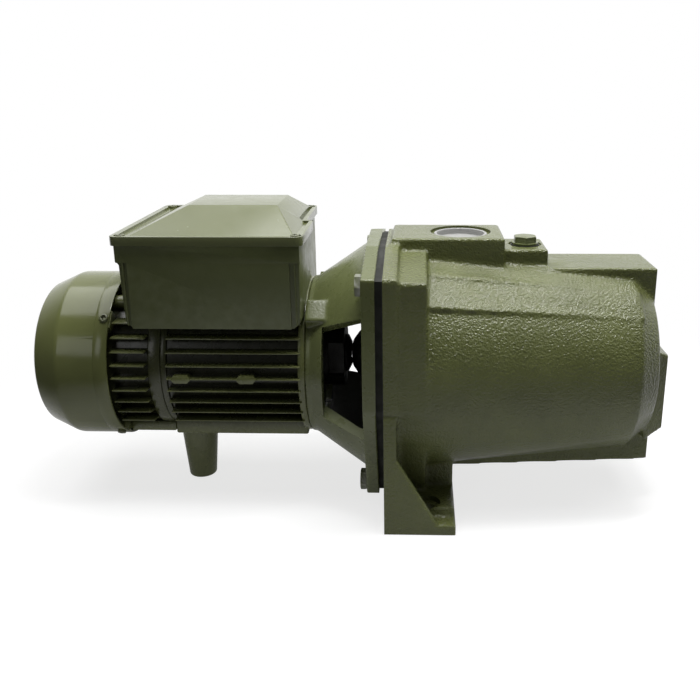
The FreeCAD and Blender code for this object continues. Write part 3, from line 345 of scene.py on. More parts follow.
def fitted(piece, node, material, body="housing"):
    """Hands a modelled piece over as the stand-in for a node of the CAD frame."""
    dress(piece, material)
    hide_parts(node)
    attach(piece, body)


OLIVE = (0.112, 0.124, 0.044)
motor_enamel = finish_of("motor_enamel", OLIVE, 0.28, coat=0.15, grain=900.0, bump=0.05, mottle=0.08)

# Painted shade and light: the colour darkens towards the shaft at the roots of the fins and lightens at the
# fin tips.
nodes, links = motor_enamel.node_tree.nodes, motor_enamel.node_tree.links
from_shaft = nodes.new("ShaderNodeVectorMath")
from_shaft.operation = "MULTIPLY_ADD"
from_shaft.inputs[1].default_value = (0.0, 1.0, 1.0)
from_shaft.inputs[2].default_value = (0.0, 0.0, -SHAFT_Z)
links.new(nodes["Texture Coordinate"].outputs["Object"], from_shaft.inputs[0])
radius = nodes.new("ShaderNodeVectorMath")
radius.operation = "LENGTH"
links.new(from_shaft.outputs["Vector"], radius.inputs[0])
painted_fin_shade = nodes.new("ShaderNodeMapRange")
painted_fin_shade.inputs["From Min"].default_value = FRAME_WALL
painted_fin_shade.inputs["From Max"].default_value = FIN_TIP
painted_fin_shade.inputs["To Min"].default_value = 0.25
painted_fin_shade.inputs["To Max"].default_value = 1.15
links.new(radius.outputs["Value"], painted_fin_shade.inputs["Value"])
fin_shaded_paint = nodes.new("ShaderNodeVectorMath")
fin_shaded_paint.operation = "SCALE"
links.new(nodes["Hue/Saturation/Value"].outputs["Color"], fin_shaded_paint.inputs[0])
links.new(painted_fin_shade.outputs["Result"], fin_shaded_paint.inputs["Scale"])
links.new(fin_shaded_paint.outputs["Vector"], nodes["Principled BSDF"].inputs["Base Color"])

body = drum("motor_frame", FRAME_X, FRAME_WALL, 128)


def cooling_fin(level, x):
    """Level fin right through the frame, thicker at its root than at its two tips."""
    height = SHAFT_Z + FIN_PITCH * level
    reach = math.sqrt(FIN_TIP ** 2 - (FIN_PITCH * level) ** 2)
    half_tip, half_root = FIN_THICK * 0.25, FIN_THICK * 0.85
    outline = ((-reach, height - half_tip), (-reach, height + half_tip), (0.0, height + half_root),
               (reach, height + half_tip), (reach, height - half_tip), (0.0, height - half_root))
    return slab("fin", outline, x[0], x[1], "X")


plates = []
for level in range(-4, 5):
    plate = cooling_fin(level, (FRAME_X[0] + 0.0040, FRAME_X[1] - 0.004))
    tip = max(vertex.co.y for vertex in plate.data.vertices)
    for vertex in plate.data.vertices:
        if vertex.co.x < -0.2 and abs(vertex.co.y) > tip - 0.001:
            vertex.co.x += 0.0030
    soften(plate, 0.0005, 2, 60.0)
    plates.append(plate)
bosses = []
for x0 in (-0.228, -0.170):
    corners = [(x0 + dx, SHAFT_Z + dz) for dx, dz in (
        (0.0, 0.0), (0.003, 0.0037), (0.015, 0.0037), (0.018, 0.0), (0.015, -0.0037), (0.003, -0.0037))]
    boss = slab("flat", corners, -FIN_TIP - 0.0008, -0.066)
    soften(boss, 0.0005, 2)
    bosses.append(boss)
collar = drum("collar", (-0.1155, FRAME_X[1]), 0.0735, 128)
soften(collar, 0.0015, 3)
start_ring = drum("start_ring", (FRAME_X[0], -0.2335), 0.0672, 128)
soften(start_ring, 0.0012, 2)
pad = bar("pad", (FRAME_X[0], -0.113), (-0.036, 0.036), (0.059, 0.0735))
soften(pad, 0.0018, 3)
neck = bar("neck", (-0.205, -0.145), (-0.032, 0.032), (0.185, 0.201))
combine(body, plates + bosses + [collar, start_ring, pad, neck], "UNION")
combine(body, [drum("bore", (-0.245, -0.1), FRAME_BORE, 96),
               bar("wire_way", (-0.195, -0.155), (-0.022, 0.022), (0.180, 0.21)),
               upright("leg_screw_hole", (0.05, 0.068), 0.003, LEG_X, 0.0, 24)], "DIFFERENCE")
hold(body)
bpy.ops.object.shade_smooth_by_angle(angle=math.radians(35.0))
fitted(body, "motor_frame", motor_enamel)

# ----------------------------------------------------------------------
# Stator: a stack of punched electrical steel sheets pressed into the frame, wound with coils of
# enamelled copper wire.
# ----------------------------------------------------------------------
core_steel = finish_of("core_steel", (0.20, 0.20, 0.21), 0.45, metal=0.9, grain=1500.0, bump=0.15)
copper_wire = finish_of("copper_wire", (0.45, 0.16, 0.07), 0.35, metal=0.8, coat=0.3, grain=1200.0,
                        bump=0.2)
dress(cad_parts["stator_core"], core_steel)
dress(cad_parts["stator_windings"], copper_wire)

# ----------------------------------------------------------------------
# Rotor and shaft: a ground steel shaft with a laminated core and a cast aluminium cage, held by
# two ball bearings of hardened steel with pressed cages.
# ----------------------------------------------------------------------
ground_steel = finish_of("ground_steel", (0.52, 0.52, 0.53), 0.22, metal=1.0, grain=2200.0, bump=0.06)
bare_aluminium = finish_of("bare_aluminium", (0.66, 0.66, 0.67), 0.38, metal=1.0, grain=900.0, bump=0.12)
bearing_steel = finish_of("bearing_steel", (0.58, 0.58, 0.59), 0.14, metal=1.0, grain=2600.0, bump=0.03)
cage_steel = finish_of("cage_steel", (0.46, 0.46, 0.46), 0.32, metal=1.0, grain=1600.0, bump=0.08)
spring_steel = finish_of("spring_steel", (0.40, 0.40, 0.42), 0.28, metal=1.0, grain=1800.0, bump=0.05)
dress(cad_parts["shaft"], ground_steel)
dress(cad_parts["rotor_core"], core_steel)
dress(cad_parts["rotor_cage"], bare_aluminium)
for end in ("rear", "front"):
    dress(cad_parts[end + "_bearing_outer"], bearing_steel)
    dress(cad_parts[end + "_bearing_inner"], bearing_steel)
    dress(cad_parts[end + "_bearing_balls"], bearing_steel)
    dress(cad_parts[end + "_bearing_cage"], cage_steel)
dress(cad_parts["preload_washer"], spring_steel)
dress(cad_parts["fan_clip"], spring_steel)

# ----------------------------------------------------------------------
# Rear end shield: an aluminium casting that carries the rear bearing, with short level fins, a
# rounded collar against the frame and four lugs for the fan cover's screws.
# ----------------------------------------------------------------------
COVER_SCREW_ANGLES = (41.0, 139.0, 234.0, 306.0)
COVER_SCREW_X = -0.2875
SHIELD_X = (-0.290, -0.239)
LUG_X = (-0.296, -0.282)
TIE_R = 0.068
BEARING_SEAT_R = 0.0235
SEAT_X = (-0.2648, -0.24)
TIE_ANGLES = (60.0, 120.0, 248.0, 292.0)


def turned_about_shaft(piece, angle):
    """Turns a piece modelled above the shaft to its angle, counted from +Y towards the top."""
    hold(piece)
    bpy.ops.object.mode_set(mode="EDIT")
    bpy.ops.mesh.select_all(action="SELECT")
    bpy.ops.transform.rotate(value=-math.radians(angle - 90.0), orient_axis="X",
                             center_override=(0.0, 0.0, SHAFT_Z))
    bpy.ops.object.mode_set(mode="OBJECT")
    return piece


shield = drum("rear_end_shield", SHIELD_X, FRAME_WALL, 128)
fins = []
for level in range(-4, 5):
    fin = cooling_fin(level, (-0.2815, -0.2462))
    tip = max(vertex.co.y for vertex in fin.data.vertices)
    for vertex in fin.data.vertices:
        if vertex.co.x > -0.25 and abs(vertex.co.y) > tip - 0.001:
            vertex.co.x -= 0.0045
    soften(fin, 0.0005, 2, 60.0)
    fins.append(fin)
bead = drum("bead", (-0.2505, -0.2390), 0.0674, 128)
soften(bead, 0.0014, 3)
rear_pad = bar("rear_pad", (-0.2815, -0.2390), (-0.036, 0.036), (0.0615, 0.0715))
soften(rear_pad, 0.0015, 2)
lugs = []
for angle in COVER_SCREW_ANGLES:
    lug = bar("lug", LUG_X, (-0.008, 0.008), (SHAFT_Z + 0.058, SHAFT_Z + 0.0764))
    lugs.append(turned_about_shaft(lug, angle))
ears = [turned_about_shaft(drum("ear", (-0.286, -0.2390), 0.0065, 24, 0.0, SHAFT_Z + TIE_R), angle)
        for angle in TIE_ANGLES]
combine(shield, fins + [bead, rear_pad] + lugs + ears, "UNION")
combine(shield, [bar("flat_bottom", (-0.30, -0.235), (-0.09, 0.09), (0.0, 0.0615)),
                 drum("mouth", (-0.30, -0.272), 0.058, 96),
                 drum("inner_mouth", (-0.266, -0.235), 0.058, 96),
                 drum("bearing_seat", SEAT_X, BEARING_SEAT_R, 64),
                 drum("shaft_way", (-0.30, -0.23), 0.011, 48)], "DIFFERENCE")
bearing_hub = drum("bearing_hub", (-0.268, -0.249), 0.030, 64)
combine(bearing_hub, [drum("seat", SEAT_X, BEARING_SEAT_R, 64), drum("way", (-0.30, -0.23), 0.011, 48)],
        "DIFFERENCE")
combine(shield, [bearing_hub], "UNION")
hold(shield)
bpy.ops.object.shade_smooth_by_angle(angle=math.radians(35.0))
fitted(shield, "rear_end_shield", motor_enamel)

# ----------------------------------------------------------------------
# Tie rods: four zinc-plated steel rods that clamp the shield, the frame and the bracket.
# Cooling fan: a black moulded fan with eight flat blades, pushed on the shaft's end.
# ----------------------------------------------------------------------
zinc_steel = finish_of("zinc_steel", (0.50, 0.50, 0.48), 0.30, metal=1.0, grain=1500.0, bump=0.08)
black_plastic = finish_of("black_plastic", (0.018, 0.018, 0.019), 0.45, grain=1400.0, bump=0.12)
dress(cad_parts["tie_rods"], zinc_steel)
dress(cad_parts["cooling_fan"], black_plastic)

# ----------------------------------------------------------------------
# Fan cover: a cap deep-drawn from thin steel sheet and painted, with a bevelled shoulder, a
# raised band at the rim and rings of air slots in its end, held by four screws.
# ----------------------------------------------------------------------
COVER_R = 0.0780
COVER_BEVEL_X = -0.329
COVER_END_X = -0.353
COVER_END_R = 0.067

cover = drum("fan_cover", (COVER_BEVEL_X, -0.283), COVER_R - 0.0004, 160)
pick(cover, lambda centre, normal: normal.x < -0.9)
along_shaft = {"value": (COVER_END_X - COVER_BEVEL_X, 0.0, 0.0)}
bpy.ops.mesh.extrude_region_move(TRANSFORM_OT_translate=along_shaft)
bpy.ops.transform.resize(value=(1.0, COVER_END_R / COVER_R, COVER_END_R / COVER_R))
bpy.ops.object.mode_set(mode="OBJECT")
soften(cover, 0.0024, 4, 14.0)
pick(cover, lambda centre, normal: normal.x > 0.9)
bpy.ops.mesh.delete(type="FACE")
done()
modify(cover, "SOLIDIFY", thickness=0.0015, offset=-1.0)
band = drum("band", (-0.2955, -0.283), COVER_R, 160)
soften(band, 0.0006, 2)
combine(band, [drum("band_bore", (-0.30, -0.28), COVER_R - 0.0012, 160)], "DIFFERENCE")
combine(cover, [band], "UNION")
slots = drum("slots", (COVER_END_X - 0.002, COVER_END_X + 0.004), 0.062, 96)
combine(slots, [drum("land", (COVER_END_X - 0.01, COVER_END_X + 0.01), 0.056, 96)], "DIFFERENCE")
for inner in (0.046, 0.036, 0.026, 0.016):
    ring = drum("slot_ring", (COVER_END_X - 0.002, COVER_END_X + 0.004), inner + 0.006, 96)
    combine(ring, [drum("land", (COVER_END_X - 0.01, COVER_END_X + 0.01), inner, 96)], "DIFFERENCE")
    combine(slots, [ring], "UNION")
spokes = [turned_about_shaft(bar("spoke", (COVER_END_X - 0.005, COVER_END_X + 0.008), (-0.0025, 0.0025),
                                 (SHAFT_Z - 0.08, SHAFT_Z + 0.08)), angle) for angle in (0, 45, 90, 135)]
combine(slots, spokes, "DIFFERENCE")
combine(cover, [slots], "DIFFERENCE")
hold(cover)
bpy.ops.object.shade_smooth_by_angle(angle=math.radians(30.0))
cover_enamel = finish_of("cover_enamel", OLIVE, 0.17, grain=700.0, bump=0.02, mottle=0.08)
fitted(cover, "fan_cover", cover_enamel)

# The screws have low rounded heads with a cross recess and are painted over with the cover.
painted_screw = finish_of("painted_screw", (0.095, 0.105, 0.045), 0.35, coat=0.3, grain=1500.0,
                          bump=0.1, wear=0.7)
SLOT_Z = (SHAFT_Z + COVER_R + 0.0008, SHAFT_Z + COVER_R + 0.004)


def copied(piece, move=(0.0, 0.0, 0.0)):
    """Copy of a modelled piece, with a mesh of its own, moved to its place."""
    hold(piece)
    bpy.ops.object.duplicate()
    bpy.ops.transform.translate(value=move)
    bpy.ops.object.transform_apply(location=True, rotation=False, scale=False)
    return bpy.context.object


screw = upright("fan_cover_screws", (SHAFT_Z + 0.070, SHAFT_Z + COVER_R + 0.0022), 0.0039,
                COVER_SCREW_X, 0.0, 32)
pick(screw, lambda centre, normal: normal.z < -0.9)
bpy.ops.mesh.extrude_region_move(TRANSFORM_OT_translate={"value": (0.0, 0.0, 0.0)})
bpy.ops.transform.resize(value=(0.5, 0.5, 1.0))
done()
soften(screw, 0.0011, 4)
combine(screw, [bar("cross", (COVER_SCREW_X - 0.0023, COVER_SCREW_X + 0.0023), (-0.0005, 0.0005), SLOT_Z),
                bar("cross", (COVER_SCREW_X - 0.0005, COVER_SCREW_X + 0.0005), (-0.0023, 0.0023), SLOT_Z)],
        "DIFFERENCE")
others = [turned_about_shaft(copied(screw), angle) for angle in COVER_SCREW_ANGLES[1:]]
screws = combine(turned_about_shaft(screw, COVER_SCREW_ANGLES[0]), others, "UNION")
fitted(screws, "fan_cover_screws", painted_screw)

# ----------------------------------------------------------------------
# Motor leg: a painted aluminium casting with an oval plan that narrows towards the ground,
# drawn up against the frame's pad by one screw from below.
# ----------------------------------------------------------------------
LEG_FOOT_R = 0.0132
LEG_TOP = (0.0184, 0.0155)

leg = upright("motor_leg", (0.0, 0.059), LEG_FOOT_R, LEG_X, 0.0, 64)
pick(leg, lambda centre, normal: normal.z > 0.9)
bpy.ops.transform.resize(value=(LEG_TOP[0] / LEG_FOOT_R, LEG_TOP[1] / LEG_FOOT_R, 1.0))
done()
soften(leg, 0.0016, 3)
combine(leg, [drum("collar_room", (-0.2505, -0.2388), 0.0714, 96),
              upright("screw_room", (-0.01, 0.047), 0.0075, LEG_X, 0.0, 32),
              upright("screw_way", (0.0, 0.07), 0.0033, LEG_X, 0.0, 24)], "DIFFERENCE")
hold(leg)
bpy.ops.object.shade_smooth_by_angle(angle=math.radians(35.0))
fitted(leg, "motor_leg", motor_enamel)
dress(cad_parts["leg_screw"], zinc_steel)

# ----------------------------------------------------------------------
# Terminal box: a deep moulded tray, painted, that straddles the frame. Its lower corners are
# bevelled, a channel runs down each front corner, and the pump-side wall steps back half way.
# ----------------------------------------------------------------------
BOX_X = (-0.264, -0.1085)
BOX_Y = 0.0805
BOX_Z = (0.1777, 0.2511)
BOX_STEP = (-0.116, -0.0035)
BOX_SHOULDER_Z = 0.2365
GLAND_AT = (-0.240, 0.079, 0.215)
box_enamel = finish_of("box_enamel", (0.095, 0.110, 0.038), 0.38, coat=0.15, grain=1100.0, bump=0.10,
                       mottle=0.06, wear=0.2, wear_colour=(0.30, 0.32, 0.22))

left, right = BOX_X
low, high = BOX_Z
tray_outline = ((left, high), (left, BOX_SHOULDER_Z), (left + 0.0022, 0.2330), (left + 0.0034, low + 0.0055),
                (left + 0.0090, low), (right - 0.0072, low), (right - 0.0016, low + 0.0055),
                (right - 0.0008, 0.2330), (right, BOX_SHOULDER_Z), (right, high))
tray = slab("terminal_box_base", tray_outline, -BOX_Y, BOX_Y)
combine(tray, [bar("step", (BOX_STEP[0], -0.09), (BOX_STEP[1], 0.1), (0.17, 0.26))], "DIFFERENCE")
channels = ((left - 0.004, left + 0.0052), (left + 0.0064, left + 0.0094),
            (right - 0.0090, right - 0.0052), (right - 0.0040, right + 0.004))
for x0, x1 in channels:
    channel = bar("channel", (x0, x1), (-BOX_Y - 0.004, -BOX_Y + 0.0026), (0.15, 0.2350))
    pick(channel, lambda centre, normal: normal.z > 0.9)
    bpy.ops.transform.rotate(value=math.radians(-35.0), orient_axis="X")
    done()
    combine(tray, [channel], "DIFFERENCE")
soften(tray, 0.0011, 3)
room = bar("room", (left + 0.006, right - 0.006), (-BOX_Y + 0.006, BOX_Y - 0.006), (0.186, 0.27))
combine(room, [bar("step_wall", (BOX_STEP[0] - 0.005, -0.09), (BOX_STEP[1] - 0.005, 0.1),
                   (0.17, 0.28)),
               drum("saddle", (-0.28, -0.09), 0.0794, 96)], "DIFFERENCE")
combine(tray, [room, drum("frame_room", (-0.28, -0.09), 0.0754, 128),
               bar("neck_room", (-0.2052, -0.1448), (-0.0322, 0.0322), (0.17, 0.201)),
               bar("wire_way", (-0.195, -0.155), (-0.022, 0.022), (0.17, 0.22))], "DIFFERENCE")
gland_hole = drum("gland_hole", (-0.006, 0.006), 0.0102, 32, 0.0, 0.0)
pick(gland_hole, lambda centre, normal: True)
bpy.ops.transform.rotate(value=math.pi / 2, orient_axis="Z", center_override=(0.0, 0.0, 0.0))
bpy.ops.transform.translate(value=GLAND_AT)
done()
combine(tray, [gland_hole], "DIFFERENCE")
hold(tray)
bpy.ops.object.shade_smooth_by_angle(angle=math.radians(30.0))
fitted(tray, "terminal_box_base", box_enamel)

# ----------------------------------------------------------------------
# Inside the box: a moulded terminal board with brass studs, a run capacitor in a pale shell held
# by a steel strap, the screws to the frame, and a rubber seal under the lid.
# ----------------------------------------------------------------------
capacitor_shell = finish_of("capacitor_shell", (0.55, 0.56, 0.55), 0.32, grain=800.0, bump=0.04, mottle=0.04)
brass = finish_of("brass", (0.60, 0.42, 0.16), 0.26, metal=1.0, grain=1600.0, bump=0.06)
black_rubber = finish_of("black_rubber", (0.014, 0.014, 0.014), 0.62, grain=1200.0, bump=0.18)
dress(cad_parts["terminal_block"], black_plastic)
dress(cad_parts["terminal_studs"], brass)
dress(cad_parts["capacitor"], capacitor_shell)
dress(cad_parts["capacitor_strap"], zinc_steel)
dress(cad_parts["box_screws"], zinc_steel)
dress(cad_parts["terminal_box_gasket"], black_rubber)
dress(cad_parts["cable_gland"], black_plastic)
dress(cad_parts["gland_nut"], black_plastic)

# ----------------------------------------------------------------------
# Box lid: a painted moulding with a rounded skirt, a groove behind its front lip, a low faceted
# roof that rises to a flat, and four screws sunk in its corners.
# ----------------------------------------------------------------------
RIM_X = (-0.2675, -0.1057)
RIM_Y = 0.0834
RIM_TOP = 0.2583
LID_TOP = 0.2765
LID_SCREWS = ((-0.259, -0.0755), (-0.1125, -0.0755), (-0.259, 0.0755), (-0.120, 0.0755))

lid = bar("terminal_box_lid", RIM_X, (-RIM_Y, RIM_Y), (0.2505, RIM_TOP))
combine(lid, [bar("rim_step", (-0.1128, -0.09), (BOX_STEP[1], 0.1), (0.24, 0.27))], "DIFFERENCE")
hold(lid)
bpy.context.tool_settings.mesh_select_mode = (False, True, False)
bpy.ops.object.mode_set(mode="EDIT")
bpy.ops.mesh.select_all(action="DESELECT")
bpy.ops.object.mode_set(mode="OBJECT")
for edge in lid.data.edges:
    a, b = (lid.data.vertices[i].co for i in edge.vertices)
    edge.select = abs(a.z - b.z) > 0.004
bpy.ops.object.mode_set(mode="EDIT")
bpy.ops.mesh.bevel(offset=0.0065, segments=5, affect="EDGES")
done()
soften(lid, 0.0017, 3, 40.0)
groove = bar("groove", (RIM_X[0] + 0.0055, -0.1095), (-RIM_Y + 0.0045, RIM_Y - 0.0045), (0.2562, 0.27))
combine(groove, [bar("groove_step", (-0.1165, -0.10), (BOX_STEP[1] - 0.003, 0.1), (0.25, 0.28))],
        "DIFFERENCE")
combine(lid, [groove], "DIFFERENCE")
roof = bar("roof", (RIM_X[0] + 0.0075, -0.1115), (-RIM_Y + 0.0070, RIM_Y - 0.0070), (0.2540, LID_TOP))
pick(roof, lambda centre, normal: normal.z > 0.9)
bpy.ops.transform.resize(value=(0.53, 0.40, 1.0))
bpy.ops.transform.translate(value=(0.0125, 0.0, 0.0))
done()
combine(roof, [bar("roof_step", (-0.1185, -0.10), (BOX_STEP[1] - 0.002, 0.1), (0.25, 0.28))], "DIFFERENCE")
soften(roof, 0.0008, 2, 8.0)
combine(lid, [roof], "UNION")
wells = [upright("well", (0.2562, 0.28), 0.0056, x, y, 32) for x, y in LID_SCREWS]
combine(lid, wells, "DIFFERENCE")
combine(lid, [bar("under_lid", (BOX_X[0] + 0.012, -0.128), (-0.066, 0.066), (0.24, 0.2545)),
              bar("under_rim", (BOX_X[0] + 0.0005, -0.1165), (-BOX_Y + 0.0005, BOX_Y - 0.0005),
                  (0.24, 0.2521))], "DIFFERENCE")
hold(lid)
bpy.ops.object.shade_smooth_by_angle(angle=math.radians(25.0))
lid_enamel = finish_of("lid_enamel", (0.115, 0.128, 0.055), 0.22, coat=0.3, grain=1100.0, bump=0.02,
                       mottle=0.03)
fitted(lid, "terminal_box_lid", lid_enamel)

x, y = LID_SCREWS[0]
screw = upright("lid_screws", (0.245, 0.2590), 0.0038, x, y, 32)
soften(screw, 0.0009, 3)
combine(screw, [bar("cross", (x - 0.0022, x + 0.0022), (y - 0.00045, y + 0.00045), (0.2578, 0.27)),
                bar("cross", (x - 0.00045, x + 0.00045), (y - 0.0022, y + 0.0022), (0.2578, 0.27))],
        "DIFFERENCE")
combine(screw, [copied(screw, (a - x, b - y, 0.0)) for a, b in LID_SCREWS[1:]], "UNION")
fitted(screw, "lid_screws", painted_screw)

# ----------------------------------------------------------------------
# Lantern bracket: a painted iron casting that carries the front bearing and joins the motor to
# the pump by two curved arms, with an open window between them on each side.
# ----------------------------------------------------------------------
BRACKET_FACE = -0.0565
PLATE_X = -0.045
WINDOW_START = -0.0933
FLANGE_OUTLINE = ((0.040, 0.113), (0.110, 0.100), (0.110, -0.015), (0.066, -0.115))
FLANGE_BOLTS = ((0.084, 0.089), (0.057, -0.1045))
CONE_R = (0.0745, 0.1078)
HOLLOW_R = (0.0655, 0.0985)
WINDOW_ANGLES = ((-1.0, 34.6, -25.7), (1.0, 34.6, -34.0))


def outline_plate(name, half, x):
    """Plate across the shaft with a mirrored outline of (half width, height above shaft) corners."""
    corners = [(y, SHAFT_Z + z) for y, z in half] + [(-y, SHAFT_Z + z) for y, z in reversed(half)]
    return slab(name, corners, x[0], x[1], "X")


def cast(piece, grain, rounds):
    """Melts joined solids into one casting with rounded edges and filled corners."""
    size = grain * 1.0
    modify(piece, "REMESH", mode="VOXEL", voxel_size=size, adaptivity=0.0)
    modify(piece, "SMOOTH", factor=0.5, iterations=max(1, int(rounds / (1))))
    bpy.ops.object.shade_smooth()
    return piece


def fused(parts):
    """Joins closed solids that overlap into one mesh."""
    bpy.ops.object.select_all(action="DESELECT")
    for part in parts:
        part.select_set(True)
    bpy.context.view_layer.objects.active = parts[0]
    bpy.ops.object.join()
    return parts[0]


def trim(piece, place, normal):
    """Machines a flat face: removes what lies beyond the plane and closes the cut."""
    pick(piece, lambda centre, normal_: True)
    bpy.ops.mesh.bisect(plane_co=place, plane_no=normal, use_fill=True, clear_outer=True)
    done()


cone = drum("lantern_bracket", (-0.109, -0.1045), CONE_R[0], 128)
pick(cone, lambda centre, normal: normal.x > 0.9)
bpy.ops.mesh.extrude_region_move(TRANSFORM_OT_translate={"value": (0.0, 0.0, 0.0)})
bpy.ops.mesh.extrude_region_move(TRANSFORM_OT_translate={"value": (0.049, 0.0, 0.0)})
bpy.ops.transform.resize(value=(1.0, CONE_R[1] / CONE_R[0], CONE_R[1] / CONE_R[0]))
done()
hollow = drum("hollow", (-0.1045, -0.096), HOLLOW_R[0], 96)
pick(hollow, lambda centre, normal: normal.x > 0.9)
bpy.ops.mesh.extrude_region_move(TRANSFORM_OT_translate={"value": (0.042, 0.0, 0.0)})
bpy.ops.transform.resize(value=(1.0, HOLLOW_R[1] / HOLLOW_R[0], HOLLOW_R[1] / HOLLOW_R[0]))
done()
combine(cone, [hollow], "DIFFERENCE")
flange = outline_plate("flange", FLANGE_OUTLINE, (BRACKET_FACE, PLATE_X + 0.004))
combine(flange, [drum("flange_bore", (-0.07, -0.03), 0.090, 96)], "DIFFERENCE")
hub = drum("hub", (-0.109, -0.079), 0.031, 64)
web = drum("web", (-0.109, -0.1045), 0.074, 96)
pads = []
for side in (-1.0, 1.0):
    raised = bar("raised", (-0.1085, -0.081), (-0.011, 0.011), (0.070, 0.0850))
    pick(raised, lambda centre, normal: True)
    bpy.ops.transform.rotate(value=side * math.radians(-45.0), orient_axis="X",
                             center_override=(0.0, 0.0, 0.0))
    bpy.ops.transform.translate(value=(0.0, 0.0, SHAFT_Z))
    done()
    pads.append(raised)
bracket = fused([cone, flange, hub, web] + pads)
cast(bracket, 0.0013, 5)
trim(bracket, (PLATE_X, 0.0, 0.0), (1.0, 0.0, 0.0))
trim(bracket, (-0.109, 0.0, 0.0), (-1.0, 0.0, 0.0))
for side, upper, lower in WINDOW_ANGLES:
    window = bar("window", (WINDOW_START, BRACKET_FACE + 0.0005), sorted((side * 0.15, side * 0.025)),
                 (SHAFT_Z - 0.01, SHAFT_Z + 0.01))
    for vertex in window.data.vertices:
        lean = math.radians(upper if vertex.co.z > SHAFT_Z else lower)
        vertex.co.z = SHAFT_Z + math.tan(lean) * abs(vertex.co.y)
    combine(bracket, [window], "DIFFERENCE")
holes = [drum("bearing_room", (-0.12, -0.093), BEARING_SEAT_R, 64),
         drum("shaft_room", (-0.12, -0.07), 0.012, 48)]
holes += [turned_about_shaft(drum("tie_hole", (-0.12, -0.097), 0.0034, 24, 0.0, SHAFT_Z + TIE_R), angle)
          for angle in TIE_ANGLES]
for y, z in FLANGE_BOLTS:
    for side in (-1.0, 1.0):
        holes.append(drum("bolt_hole", (-0.06, -0.04), 0.0055, 24, side * y, SHAFT_Z + z))
        holes.append(drum("bolt_face", (-0.075, BRACKET_FACE), 0.0112, 32, side * y, SHAFT_Z + z))
combine(bracket, holes, "DIFFERENCE")
cast_enamel = finish_of("cast_enamel", (0.108, 0.121, 0.040), 0.12, grain=700.0, bump=1.0,
                        depth=0.0009, mottle=0.10, speckle=0.5, wear=0.12, wear_colour=(0.30, 0.32, 0.24))
smooth_cast = finish_of("smooth_cast", (0.105, 0.120, 0.044), 0.28, coat=0.1, grain=420.0, bump=0.18,
                        depth=0.0008, mottle=0.10, wear=0.25, wear_colour=(0.30, 0.32, 0.24))
fitted(bracket, "lantern_bracket", smooth_cast)
# Painted shade: the bracket's inside faces get a near-black finish for the deep shadow inside the lantern.
inside_painted_shade = finish_of("inside_painted_shade", (0.020, 0.021, 0.016), 0.55, grain=520.0, bump=0.4, depth=0.0008)
bracket.data.materials.append(inside_painted_shade)
for face in bracket.data.polygons:
    along, across, up = face.center
    if -0.1046 < along < -0.0572 and math.hypot(across, up - SHAFT_Z) < 0.0670 + (along + 0.096) * 0.78:
        face.material_index = 1

# ----------------------------------------------------------------------
# Seal plate, gasket and shaft seal: a pressed steel plate clamped with a rubber gasket between
# the two flanges, and a carbon face on a ceramic seat pushed together by a spring.
# ----------------------------------------------------------------------
# The seal plate is near black: painted shade for the narrow gap between the two flanges.
plate_steel = finish_of("plate_steel", (0.009, 0.010, 0.007), 0.75, grain=1300.0, bump=0.08)
ceramic = finish_of("ceramic", (0.70, 0.68, 0.62), 0.22, grain=1500.0, bump=0.03, mottle=0.02)
carbon = finish_of("carbon", (0.03, 0.03, 0.032), 0.30, grain=1500.0, bump=0.05)
dress(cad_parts["seal_plate"], plate_steel)
dress(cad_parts["casing_gasket"], black_rubber)
dress(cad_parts["water_slinger"], black_rubber)
dress(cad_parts["seal_seat_cup"], black_rubber)
dress(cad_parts["seal_seat"], ceramic)
dress(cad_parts["seal_face"], carbon)
dress(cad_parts["seal_bellows"], black_rubber)
dress(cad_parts["seal_spring"], spring_steel)

# ----------------------------------------------------------------------
# Pump inside: a brass impeller keyed to the shaft, a moulded guide wheel round it, and the
# ejector's venturi tube and nozzle below the shaft's height.
# ----------------------------------------------------------------------
for name, material in (("impeller", brass), ("impeller_key", ground_steel),
                       ("impeller_washer", zinc_steel), ("impeller_nut", zinc_steel),
                       ("diffuser", black_plastic), ("neck_ring", brass),
                       ("venturi_tube", black_plastic), ("venturi_ring", black_rubber),
                       ("ejector_nozzle", brass)):
    dress(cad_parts[name], material)

# ----------------------------------------------------------------------
# Pump casing: a sand-cast iron body, painted, with a rough sparkling skin. A flange on a foot,
# a tapering barrel with flat shoulders, a block for the outlet, a filling boss, a top plate, a
# keel below, and a boss for the suction pipe. Only the ports and mating faces are machined.
# ----------------------------------------------------------------------
BODY_X = -0.0385
NECK_X = -0.0263
BARREL_X = -0.002
BARREL_R = 0.105
FOOT_Y = 0.1127
FOOT_HOLE_Y = 0.085
BARREL_FAR_R = 0.086
NOSE_R = 0.070
PORT_THREAD_R = 0.02242
DRAIN_AT = (0.170, 0.031, 0.040)

barrel = drum("pump_body", (NECK_X, 0.0), BARREL_R, 128)
pick(barrel, lambda centre, normal: normal.x > 0.9)
bpy.ops.mesh.extrude_region_move(TRANSFORM_OT_translate={"value": (0.182, 0.0, 0.0)})
bpy.ops.transform.resize(value=(1.0, BARREL_FAR_R / BARREL_R, BARREL_FAR_R / BARREL_R))
bpy.ops.mesh.extrude_region_move(TRANSFORM_OT_translate={"value": (0.019, 0.0, 0.0)})
bpy.ops.transform.resize(value=(1.0, NOSE_R / BARREL_FAR_R, NOSE_R / BARREL_FAR_R))
done()


def shoulder(name, corners, far):
    """Flat along the barrel's upper side that dies away towards its far end."""
    flat = outline_plate(name, corners, (BARREL_X, 0.186))
    pick(flat, lambda centre, normal: normal.x > 0.9)
    bpy.ops.transform.resize(value=(1.0, far, far), center_override=(0.186, 0.0, SHAFT_Z))
    done()
    return flat


